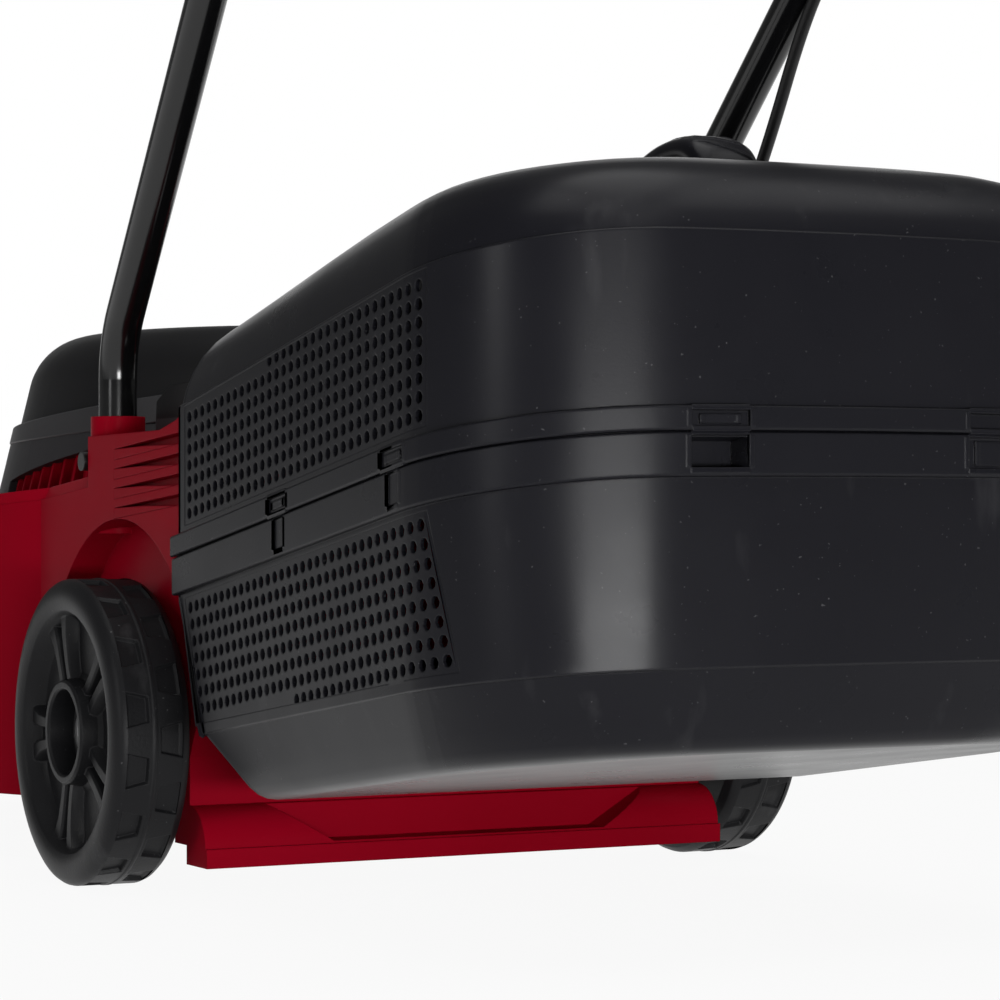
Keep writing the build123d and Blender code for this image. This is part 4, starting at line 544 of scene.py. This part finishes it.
# Lower half, whose wall lines lean back with its grilles
LOWER_OUT = 3.2
FLANGE_DOWN = -16.4
RIM_DROP = 0.3
SLOT_LOW, SLOT_HIGH = -13.4, -1.4
tray = Sheet()
tray_lines = [
    (lower_crease_z, 0.0, -0.9, 1.0, KEEL_FRONT_Y),
    (lower_crease_z, 0.6, 0.0, 1.0, KEEL_FRONT_Y + 1.0),
    (lower_crease_z, LOWER_WINDOW[0], 0.0, 1.0, KEEL_FRONT_Y + 3.0),
    (seam_z, LOWER_WINDOW[1], 0.0, 0.0, BOX_FRONT_Y - 3.0),
    (seam_z, FLANGE_DOWN, 0.0, 0.0, BOX_FRONT_Y),
    (seam_z, FLANGE_DOWN, LOWER_OUT - 0.6, 0.0, BOX_FRONT_Y),
    (seam_z, FLANGE_DOWN + 0.7, LOWER_OUT, 0.0, BOX_FRONT_Y),
    (seam_z, SLOT_LOW, LOWER_OUT, 0.0, BOX_FRONT_Y),
    (seam_z, SLOT_HIGH, LOWER_OUT, 0.0, BOX_FRONT_Y),
    (seam_z, -0.9, LOWER_OUT, 0.0, BOX_FRONT_Y),
    (seam_z, -RIM_DROP, LOWER_OUT - 0.6, 0.0, BOX_FRONT_Y),
    (seam_z, -RIM_DROP, 0.6, 0.0, BOX_FRONT_Y),
    (seam_z, 3.0, 0.4, 0.0, BOX_FRONT_Y),
]
TRAY_SLOT_ROW, TRAY_WINDOW_ROW = 7, 2


def leaned(run, lean):
    """A run moved back along the wall, by less and less round the corner."""
    if run > HALF_RUN:
        return 2 * HALF_RUN - leaned(2 * HALF_RUN - run, lean)
    end = SIDE_RUN + CORNER_RUN
    return run + GRILLE_SHIFT * lean * min(1.0, max(0.0, (end - run) / (end - GRILLE_RUN[1])))


def tray_row(level, up, out, lean, front):
    row = [on_box(leaned(run, lean), level, up, out) for run in RUNS]
    for i in (0, -1):
        row[i] = (row[i][0], front, level(front) + up)
    return row


def tray_open(i, j):
    middle = (RUNS[i] + RUNS[i + 1]) / 2
    at_slot = j == TRAY_SLOT_ROW and in_latch(middle, WELLS)
    return at_slot or (j == TRAY_WINDOW_ROW and between(middle, GRILLE_RUN))


tray.grid([tray_row(*line) for line in tray_lines], tray_open)
for latch, half in WELLS:
    depth = pocket_depth(latch, half, turned=1.4, rear=14.0, side=0.7)
    pocket(tray, latch, half, seam_z, SLOT_LOW, SLOT_HIGH, LOWER_OUT, depth, latch == TURNED_LATCH)
KEEL_DEPTH = 30.0
KEEL = [(KEEL_DEPTH, 24.0), (29.4, 19.5), (27.6, 16.0), (24.0, 13.0), (16.0, 9.0), (8.0, 4.9), (0.0, 0.9)]
KEEL_ROUND = 1.4
KEEL_SWEEP = 20.0
rings = []
for depth, inset in KEEL:
    front = KEEL_FRONT_Y - KEEL_SWEEP * depth / KEEL_DEPTH
    shape = (LOWER_SLOPE, -depth, inset, KEEL_ROUND * inset, front, 0.0)
    rings.append([domed(run, lower_crease_z, *shape) for run in RUNS])
tray.grid(rings)
cap(tray, rings)
tray.fill(list(reversed(rings[0])))
rake = (BOX_FRONT_Y - KEEL_FRONT_Y) / (RAKE_Z - LOWER_CREASE_Z)
heights = (LOWER_CREASE_Z, MOUTH_LOW_Z, RAKE_Z, seam_z(BOX_FRONT_Y) - RIM_DROP)
wall_lines = [(min(BOX_FRONT_Y, KEEL_FRONT_Y + rake * (z - LOWER_CREASE_Z)), z) for z in heights]
front_wall(tray, wall_lines, (1, 2))
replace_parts(tray.piece("grass_box_tray", "box_plastic", "grass_box", wall=BOX_WALL), "box_lower")

# Grilles with eight-sided holes that read as round, wrapped onto the box's corner
HOLE_R = 2.5
GRILLE_SUNK = 0.15
GRILLE_T = 2.0
GRILLE_ROWS = 8
HOLE_SIDES = ((-1, -1), (0, -1), (1, -1), (1, 0), (1, 1), (0, 1), (-1, 1), (-1, 0))


def grille(name, side, first, step, drop, columns, ceiling, sill, is_open):
    """A panel with a leaning grid of small holes, in runs along the wall and heights."""
    sheet = Sheet()

    def place(spot, out=-GRILLE_SUNK):
        x, y = outline(spot.x, out)
        return -side * x, y, min(max(spot.y, sill(spot.x)), ceiling(spot.x))

    def quad(*corners):
        sheet.fill(corners)

    for i in range(columns):
        for j in range(GRILLE_ROWS):
            centre = first + step * (i + 0.5) + drop * (j + 0.5)
            border = [centre + step * (u / 2) + drop * (v / 2) for u, v in HOLE_SIDES]
            if not is_open(i, j):
                quad(*(place(spot) for spot in border))
                continue
            ring = [centre + (spot - centre).normalized() * HOLE_R for spot in border]
            for k in range(len(ring)):
                m = (k + 1) % len(ring)
                quad(place(border[k]), place(border[m]), place(ring[m]), place(ring[k]))
                deep = (place(ring[m], -GRILLE_T), place(ring[k], -GRILLE_T))
                quad(place(ring[k]), place(ring[m]), *deep)
    for i in range(-1, columns + 1):
        left, right = first + step * i, first + step * (i + 1)
        border = (left, right, right + drop * GRILLE_ROWS, left + drop * GRILLE_ROWS)
        high = [Vector((spot.x, ceiling(spot.x))) for spot in border[:2]]
        low = [Vector((spot.x, sill(spot.x))) for spot in border[2:]]
        if border[0].y < high[0].y:
            quad(*(place(spot) for spot in (*high, border[1], border[0])))
        if border[3].y > low[1].y:
            quad(*(place(spot) for spot in (border[3], border[2], *low)))
        if i in (-1, columns):
            quad(*(place(spot) for spot in border))
    panel = sheet.piece(name, "box_plastic", "grass_box", sharp=20.0, mirrored=side > 0)
    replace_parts(panel, name.replace("panel", "box_grille"))


def wall_height(level, run):
    return level(BOX_FRONT_Y - run)


GRILLE_MARGIN = 1.5
GRILLE_LAP = 1.0
UPPER_COLUMNS, LOWER_COLUMNS = 32, 33
UPPER_CUT, LOWER_CUT = 12, 14


def upper_ceiling(run):
    return wall_height(upper_crease_z, run) + UPPER_WINDOW[1] + GRILLE_LAP


def upper_sill(run):
    return wall_height(seam_z, run) + UPPER_WINDOW[0] - GRILLE_LAP


def lower_ceiling(run):
    return wall_height(seam_z, run) + LOWER_WINDOW[1] + GRILLE_LAP


def lower_sill(run):
    return wall_height(lower_crease_z, run) + LOWER_WINDOW[0] - GRILLE_LAP


def upper_open(i, j):
    return j > 0 or i >= UPPER_CUT


def lower_open(i, j):
    return j < GRILLE_ROWS - 1 or i >= LOWER_CUT


for label, side in (("left", -1), ("right", 1)):
    start, end = GRILLE_RUN[0] + GRILLE_MARGIN, GRILLE_RUN[1] - GRILLE_MARGIN
    rise = (end - start) * SEAM_SLOPE
    top, bottom = upper_ceiling(end) - 3 * GRILLE_LAP, upper_sill(end) + 2 * GRILLE_LAP
    step = Vector((end - start, rise)) / UPPER_COLUMNS
    drop = Vector((0.0, bottom - top)) / GRILLE_ROWS
    field = (Vector((start, top - rise)), step, drop, UPPER_COLUMNS)
    grille(f"panel_upper_{label}", side, *field, upper_ceiling, upper_sill, upper_open)
    top = lower_ceiling(end) - 2 * GRILLE_LAP
    bottom = lower_sill(end + GRILLE_SHIFT) + 2 * GRILLE_LAP
    step = Vector((end - start, rise)) / LOWER_COLUMNS
    drop = Vector((GRILLE_SHIFT, bottom - top)) / GRILLE_ROWS
    field = (Vector((start, top - rise)), step, drop, LOWER_COLUMNS)
    grille(f"panel_lower_{label}", side, *field, lower_ceiling, lower_sill, lower_open)

# Tapered webs that narrow the slots between the deck's ribs to a point
SIDE_X = 150.0
RIB_COUNT, RIB_PITCH, RIB_SLOT, RIB_DEPTH, RIB_RISE = 4, 9.0, 5.0, 6.0, 6.0
RIB_TOP_Z, RIB_FRONT_Y, RIB_REAR_Y = 199.0, 6.0, -74.0
WEB_FIT = 0.1
WEB_END_Y = RIB_REAR_Y + 6.0
WEB_END_SHARE = 0.925
WEB_BEND_Y = -30.0
WEB_BEND = RIB_SLOT * 0.62 + RIB_RISE * 0.45
webs = Sheet()
for side in (-1, 1):
    for index in range(RIB_COUNT):
        low = RIB_TOP_Z - RIB_PITCH * index - RIB_SLOT
        corners = [
            (RIB_FRONT_Y - WEB_FIT, low + WEB_FIT),
            (WEB_END_Y, low + RIB_RISE * WEB_END_SHARE + WEB_FIT),
            (WEB_BEND_Y, low + WEB_BEND),
            (RIB_FRONT_Y - WEB_FIT, low + RIB_SLOT - WEB_FIT),
        ]
        outer = [(side * SIDE_X, y, z) for y, z in corners]
        inner = [(side * (SIDE_X - RIB_DEPTH + WEB_FIT), y, z) for y, z in corners]
        ring = outer + outer[:1]
        back = inner + inner[:1]
        webs.grid([ring, back] if side < 0 else [back, ring])
        webs.fill(outer if side > 0 else outer[::-1])
webs.piece("rib_webs", "red_plastic", "chassis")


# Hood trim, placed by the angle round the hood's oval and the distance out from it
def on_hood(angle, z, out):
    shrink = HOOD_TAPER * (z - HOOD_BASE_Z) - out
    return (HOOD_A - shrink) * math.cos(angle), HOOD_Y + (HOOD_B - shrink) * math.sin(angle), z


# Red louvres that fill the hood's slot from end to end
LOUVRES = 14
LOUVRE_SPAN = (163.0, 221.0)
LOUVRE_HALF = 0.35
LOUVRE_Z = (160.0, 211.0)
SCREEN_OUT, LOUVRE_OUT = -6.0, -0.5
louvres = Sheet()
louvre_pitch = (LOUVRE_SPAN[1] - LOUVRE_SPAN[0]) / LOUVRES
zigzag = []
for k in range(LOUVRES):
    middle = LOUVRE_SPAN[0] + louvre_pitch * (k + 0.5)
    front, rear = middle - LOUVRE_HALF, middle + LOUVRE_HALF
    zigzag += [(middle - louvre_pitch / 2, SCREEN_OUT), (front, SCREEN_OUT), (front, LOUVRE_OUT)]
    zigzag += [(rear, LOUVRE_OUT), (rear, SCREEN_OUT)]
for side in (-1, 1):
    lines = []
    for z in LOUVRE_Z:
        row = [on_hood(math.radians(angle), z, out) for angle, out in zigzag]
        lines.append(row if side < 0 else [(-x, y, z) for x, y, z in reversed(row)])
    louvres.grid(lines)
louvres.piece("hood_louvres", "red_plastic", "chassis")

# Paler band that sweeps up round the hood
BAND_OUT, BAND_ROOT = 3.6, 4.0
BAND_BEVEL_OUT, BAND_BEVEL_UP = 0.5, 0.6
BAND_LOW_Z, BAND_HIGH_Z = 206.5, 215.5
BAND_LOW_RISE, BAND_HIGH_RISE = 16.0, 20.0
BAND_LOW_LEAN = 1.5
BAND_START, BAND_END = math.radians(150.0), math.radians(390.0)
BAND_STEPS = 72


def band_edges(angle):
    """The band's lower and upper height, which both climb to the hood's back."""
    climb = 0.5 - 0.5 * math.cos(2 * math.pi * (angle - BAND_START) / (BAND_END - BAND_START))
    return BAND_LOW_Z + BAND_LOW_RISE * climb**BAND_LOW_LEAN, BAND_HIGH_Z + BAND_HIGH_RISE * climb


def band_profile(low, high):
    return [
        (low, BAND_OUT - BAND_ROOT),
        (low, BAND_OUT - BAND_BEVEL_OUT),
        (low + BAND_BEVEL_UP, BAND_OUT),
        (high - BAND_BEVEL_UP, BAND_OUT),
        (high, BAND_OUT - BAND_BEVEL_OUT),
        (high, BAND_OUT - BAND_ROOT),
    ]


band = Sheet()
uprights = []
for k in range(BAND_STEPS + 1):
    angle = BAND_START + (BAND_END - BAND_START) * k / BAND_STEPS
    uprights.append([on_hood(angle, z, out) for z, out in band_profile(*band_edges(angle))])
band.grid([list(row) for row in zip(*uprights)])
hood_band = band.piece("hood_band", "hood_plastic", "chassis")
hood_band.data.materials[0] = PALE_HOOD

# Wheels: a dished face with five grooved spokes, and two rows of sunk blocks on the tread
WHEEL_OUT_X = 177.75
WHEEL_W = 36.4
WHEEL_STEPS = 128
AXLE_Z = 70.0
TREAD_R = 69.7
RIDGE_R = 70.0
SUNK_R = 67.6
BLOCKS = 16
SPOKES = 5
SPOKE_START = -4.0
FACE = [(-13.8, 5.2), (-13.8, 18.2), (-13.0, 19.0), (-1.4, 19.6), (-0.5, 20.4), (-0.5, 22.8)]
FACE += [(-1.4, 23.7), (-8.6, 24.6), (-10.2, 27.0), (-11.0, 47.0), (-10.2, 50.6), (-8.2, 52.4)]
FACE += [(-2.4, 54.4), (-1.2, 55.4), (-0.5, 57.2), (0.0, 60.5), (-0.2, 63.5), (-0.9, 66.2)]
FACE += [(-2.2, 68.3), (-3.8, 69.4), (-5.2, TREAD_R)]
BACK = [(-31.2, TREAD_R), (-33.2, 69.0), (-35.2, 67.2), (-36.2, 64.4), (-WHEEL_W, 62.0), (-35.6, 61.0)]
BACK += [(-22.0, 60.4), (-21.0, 58.8), (-21.0, 25.6), (-22.0, 24.2), (-35.8, 23.6)]
BACK += [(-WHEEL_W, 22.8), (-WHEEL_W, 5.2)]
RIDGE = [(-17.2, TREAD_R - 0.4), (-17.6, RIDGE_R), (-18.8, RIDGE_R), (-19.2, TREAD_R - 0.4)]
OUTER_ROW = [(-5.2, 68.9, 0.30), (-6.4, 68.0, 0.29), (-14.8, SUNK_R, 0.22)]
OUTER_ROW += [(-15.7, TREAD_R, 0.215), (-18.2, TREAD_R, 0.21)]
BLOCK_SLOPE = 0.025
SPOKE = [(-11.0, -11.2), (-9.2, -6.2), (-8.2, -5.2), (-3.6, -5.2), (-2.8, -6.0), (-2.2, -9.4)]
SPOKE += [(-across, height) for across, height in reversed(SPOKE)]
SPOKE_RUN = [(23.0, 0.86), (28.0, 0.8), (36.0, 0.86), (44.0, 1.02), (50.0, 1.3), (53.6, 1.6)]


def wheel(end, label, side, axle_y):
    """A turned face, ridge and back, two rows of tread blocks half a block apart, and the spokes."""
    sheet = Sheet()

    def place(x, radius, angle):
        return (
            side * (WHEEL_OUT_X + x),
            axle_y + radius * math.cos(angle),
            AXLE_Z + radius * math.sin(angle),
        )

    circle = [2 * math.pi * k / WHEEL_STEPS for k in range(WHEEL_STEPS)]
    for profile in (FACE, RIDGE, BACK):
        sheet.grid([[place(x, radius, angle) for angle in circle] for x, radius in profile], closed=True)
    pitch = 2 * math.pi / BLOCKS
    inner_row = [(-WHEEL_W - x, radius, half) for x, radius, half in reversed(OUTER_ROW)]
    for rows, offset in ((OUTER_ROW, 0.0), (inner_row, 0.5)):
        lines = []
        for x, sunk, half in rows:
            start, end_share = 0.5 - half, 0.5 + half
            cuts = [(0.0, TREAD_R), (start, TREAD_R), (start + BLOCK_SLOPE, sunk), (0.5, sunk)]
            cuts += [(end_share - BLOCK_SLOPE, sunk), (end_share, TREAD_R)]
            shares = [(k + cut + offset, radius) for k in range(BLOCKS) for cut, radius in cuts]
            lines.append([place(x, radius, share * pitch) for share, radius in shares])
        sheet.grid(lines, closed=True)
    for k in range(SPOKES):
        angle = math.radians(SPOKE_START + 360.0 / SPOKES * k)
        lines = []
        for radius, flare in SPOKE_RUN:
            line = []
            for across, height in SPOKE:
                turn = math.atan2(across * flare, radius)
                line.append(place(height, math.hypot(radius, across * flare), angle + turn))
            lines.append(line)
        sheet.grid(lines)
    body = f"{end}_{label}_wheel"
    obj = sheet.piece(f"wheel_{end}_{label}", "wheel_plastic", body, 28.0, mirrored=side > 0)
    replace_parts(obj, f"{end}_wheel_{label}")


for end, axle_y in (("rear", 0.0), ("front", WHEELBASE)):
    for label, side in (("left", -1), ("right", 1)):
        wheel(end, label, side, axle_y)

# Carry handle: a bowed bar with slanting grip ribs
CARRY_HALF_W = 15.0
CARRY_T = 11.0
CARRY_LINE = [(-180, 262), (-184, 272), (-195, 285), (-212, 297), (-232, 307.5), (-252, 314.5)]
CARRY_LINE += [(-268, 316.5), (-279, 314.5), (-286, 308), (-289, 298), (-290, 287)]
CARRY_STEPS = 40
CARRY_SECTION = 20
GRIP_RIBS = (0.56, 0.64, 0.72, 0.8)
GRIP_RIB_LINES = ((-0.016, 4.6), (-0.009, 6.2), (0.009, 6.2), (0.016, 4.6))
GRIP_RIB_INSET = 1.5
GRIP_RIB_SLANT = 0.07
SECTION_WIDE, SECTION_HIGH = 0.55, 0.7
LAST_SHARE = 0.9999


def smooth_line(points, share):
    """A point of the smooth curve through some points, and its direction."""
    spans = len(points) - 3
    place = min(max(share, 0.0), LAST_SHARE) * spans
    first = int(place)
    t = place - first
    a, b, c, d = (Vector(p) for p in points[first:first + 4])
    linear, square, cubic = c - a, 2 * a - 5 * b + 4 * c - d, 3 * b - a - 3 * c + d
    spot = 0.5 * (2 * b + linear * t + square * t**2 + cubic * t**3)
    way = 0.5 * (linear + 2 * square * t + 3 * cubic * t**2)
    return spot, way.normalized()


def bar_ring(share, half_w, half_t, slant=0.0):
    """A rounded section of the carry handle's bar."""
    ring = []
    for k in range(CARRY_SECTION):
        angle = 2 * math.pi * k / CARRY_SECTION
        wide = math.copysign(abs(math.cos(angle)) ** SECTION_WIDE, math.cos(angle)) * half_w
        high = math.copysign(abs(math.sin(angle)) ** SECTION_HIGH, math.sin(angle)) * half_t
        spot, way = smooth_line(CARRY_LINE, share + slant * wide / half_w)
        normal = Vector((way.y, -way.x))
        spot = spot + normal * high
        ring.append((wide, spot.x, spot.y))
    return ring


carry = Sheet()
shares = [k / CARRY_STEPS for k in range(CARRY_STEPS + 1)]
carry.grid([bar_ring(share, CARRY_HALF_W, CARRY_T / 2) for share in shares], closed=True)
rib_half_w = CARRY_HALF_W - GRIP_RIB_INSET
for place in GRIP_RIBS:
    lines = [bar_ring(place + away, rib_half_w, thick, GRIP_RIB_SLANT) for away, thick in GRIP_RIB_LINES]
    carry.grid(lines, closed=True)
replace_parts(carry.piece("carry_handle", "box_plastic", "grass_box", 40.0), "box_handle")

# Motor cable, in one length from the gland to the switch box
GLAND_Z = 205.0
GLAND_TURN = math.radians(42.0)
gland_shrink = HOOD_TAPER * (GLAND_Z - HOOD_BASE_Z)
gland_a = HOOD_A + HOOD_STEP - gland_shrink
gland_b = HOOD_B + HOOD_STEP - gland_shrink
gland_x, gland_y = math.cos(GLAND_TURN), -math.sin(GLAND_TURN)
gland = Vector((gland_a * gland_x, HOOD_Y + gland_b * gland_y, GLAND_Z))
outward = Vector((gland_x / gland_a, gland_y / gland_b, 0.0)).normalized()
under = Vector((0.0, -COS_LEAN, -SIN_LEAN))


def lower_line(z):
    """A point on the middle line of the right lower tube."""
    rise = z - BEND_Z
    return Vector((SOCKET_X + SPLAY * rise, SOCKET_Y - math.tan(LEAN) * rise, z))


route = [
    gland - outward * 3,
    gland + outward * 40,
    gland + outward * 76,
    Vector((164.0, 20.0, 238.0)),
    Vector((157.0, -30.0, 292.0)),
    Vector((148.0, -82.0, 341.0)),
    lower_line(412.0) + under * CABLE_DROP,
    lower_line(440.0) + under * CABLE_DROP,
    lower_line(SPLAY_END_Z) + under * CABLE_DROP,
    on_handle(LOWER_X, -40, CABLE_DROP),
    on_handle(LOWER_X, -20, CABLE_DROP),
    on_handle(UPPER_X, 40, CABLE_DROP),
    on_handle(UPPER_X, 60, CABLE_DROP),
    on_handle(UPPER_X, 200, CABLE_DROP),
    on_handle(UPPER_X, 375, CABLE_DROP),
    on_handle(112.0, 415, 14),
    on_handle(112.0, 447, 14),
]
curve = bpy.data.curves.new("motor_cable", "CURVE")
curve.dimensions = "3D"
curve.resolution_u = 12
spline = curve.splines.new("NURBS")
spline.points.add(len(route) - 1)
for point, place in zip(spline.points, route):
    point.co = (*(place * MM), 1.0)
spline.order_u = 3
spline.use_endpoint_u = True
cable_line = bpy.data.objects.new("motor_cable_line", curve)
bpy.context.scene.collection.objects.link(cable_line)


def meshed(obj):
    bpy.context.view_layer.update()
    return bpy.data.meshes.new_from_object(obj.evaluated_get(bpy.context.evaluated_depsgraph_get()))


centre_line = meshed(cable_line)
bpy.data.meshes.remove(centre_line)
curve.bevel_depth = CABLE_R * MM
curve.bevel_resolution = 4
tube = meshed(cable_line)
bpy.data.objects.remove(cable_line)
cable = bpy.data.objects.new("motor_cable", tube)
bpy.context.scene.collection.objects.link(cable)
tube.shade_smooth()
dress(cable, "cable_rubber")
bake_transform(cable)
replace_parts(cable, "motor_cable_lower", "motor_cable_fold", "motor_cable_upper")


# Floor, light and camera
def shown_to_eye(tree):
    """Two outputs: 1 for camera rays, and 1 for those or mirrored or transmitted ones."""
    rays = tree.nodes.new("ShaderNodeLightPath")
    total = rays.outputs["Is Camera Ray"]
    for kind in ("Is Glossy Ray", "Is Transmission Ray"):
        either = tree.nodes.new("ShaderNodeMath")
        either.operation = "MAXIMUM"
        tree.links.new(total, either.inputs[0])
        tree.links.new(rays.outputs[kind], either.inputs[1])
        total = either.outputs["Value"]
    return rays.outputs["Is Camera Ray"], total


FLOOR_HALF = 30.0
FLOOR_GREY = 0.62
FLOOR_GLOW = 0.93
floor_mesh = bpy.data.meshes.new("floor")
floor_corners = [(x * FLOOR_HALF, y * FLOOR_HALF, 0) for x, y in ((-1, -1), (1, -1), (1, 1), (-1, 1))]
floor_mesh.from_pydata(floor_corners, [], [(0, 1, 2, 3)])
floor = bpy.data.objects.new("floor", floor_mesh)
bpy.context.scene.collection.objects.link(floor)
ground = Graph("floor")
ground.shader.inputs["Base Color"].default_value = (FLOOR_GREY, FLOOR_GREY, FLOOR_GREY, 1.0)
ground.shader.inputs["Roughness"].default_value = 0.9
glow = ground.nodes.new("ShaderNodeEmission")
glow.inputs["Color"].default_value = (1.0, 1.0, 1.0, 1.0)
share = ground.nodes.new("ShaderNodeMath")
share.operation = "MULTIPLY"
share.inputs[1].default_value = FLOOR_GLOW
blend = ground.nodes.new("ShaderNodeMixShader")
ground.join(shown_to_eye(ground.material.node_tree)[1], share.inputs[0])
ground.join(share.outputs[0], blend.inputs["Fac"])
ground.join(ground.shader.outputs["BSDF"], blend.inputs[1])
ground.join(glow.outputs["Emission"], blend.inputs[2])
ground.join(blend.outputs["Shader"], ground.nodes["Material Output"].inputs["Surface"])
floor_mesh.materials.append(ground.material)
floor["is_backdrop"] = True

# A dim room with a white backdrop behind the object, seen from the photograph's side
YAW = math.radians(27.63)
ROOM = 0.145
BACKDROP_EDGE = (0.86, 0.96)
world = bpy.data.worlds.new("studio")
bpy.context.scene.world = world
world.use_nodes = True
tree = world.node_tree
sky = tree.nodes["Background"]
sky.inputs["Color"].default_value = (1.0, 1.0, 1.0, 1.0)
direction = tree.nodes.new("ShaderNodeTexCoord")
ahead = tree.nodes.new("ShaderNodeVectorMath")
ahead.operation = "DOT_PRODUCT"
ahead.inputs[1].default_value = (math.sin(YAW), math.cos(YAW), 0.0)
tree.links.new(direction.outputs["Generated"], ahead.inputs[0])
backdrop = tree.nodes.new("ShaderNodeMapRange")
backdrop.interpolation_type = "SMOOTHSTEP"
backdrop.inputs["From Min"].default_value, backdrop.inputs["From Max"].default_value = BACKDROP_EDGE
backdrop.inputs["To Min"].default_value = ROOM
tree.links.new(ahead.outputs["Value"], backdrop.inputs["Value"])
eye, shown = shown_to_eye(tree)


def choose(amount, first, second):
    node = tree.nodes.new("ShaderNodeMix")
    tree.links.new(amount, node.inputs["Factor"])
    for socket, value in ((node.inputs[2], first), (node.inputs[3], second)):
        if isinstance(value, float):
            socket.default_value = value
        else:
            tree.links.new(value, socket)
    return node.outputs[0]


room_light = choose(shown, ROOM, backdrop.outputs["Result"])
tree.links.new(choose(eye, room_light, 1.0), sky.inputs["Strength"])


def softbox(name, place, target, size, power):
    lamp = bpy.data.lights.new(name, "AREA")
    lamp.shape = "RECTANGLE"
    lamp.size, lamp.size_y = size
    lamp.energy = power
    obj = bpy.data.objects.new(name, lamp)
    obj.location = place
    obj.rotation_mode = "QUATERNION"
    obj.rotation_quaternion = (Vector(target) - Vector(place)).to_track_quat("-Z", "Y")
    bpy.context.scene.collection.objects.link(obj)


softbox("overhead", (0.3, -0.5, 2.6), (0.1, -0.2, 0.2), (2.4, 2.4), 38)
softbox("left", (-2.4, -0.8, 0.9), (0, -0.25, 0.2), (0.4, 1.2), 12)
softbox("low_fill", (-0.36, -1.56, 0.07), (-0.05, -0.35, 0.12), (0.9, 0.12), 14.5)

CAMERA_TILT, CAMERA_ROLL = 0.005, 0.001
camera_data = bpy.data.cameras.new("camera")
camera_data.lens = 118.04
camera_data.sensor_width = 36.0
camera_data.clip_start = 0.05
camera = bpy.data.objects.new("camera", camera_data)
camera.location = (-0.6921, -1.4123, 0.1679)
camera.rotation_euler = (math.pi / 2 + CAMERA_TILT, CAMERA_ROLL, -YAW)
bpy.context.scene.collection.objects.link(camera)
bpy.context.scene.camera = camera
bpy.context.scene.view_settings.view_transform = "Standard"

low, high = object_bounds()
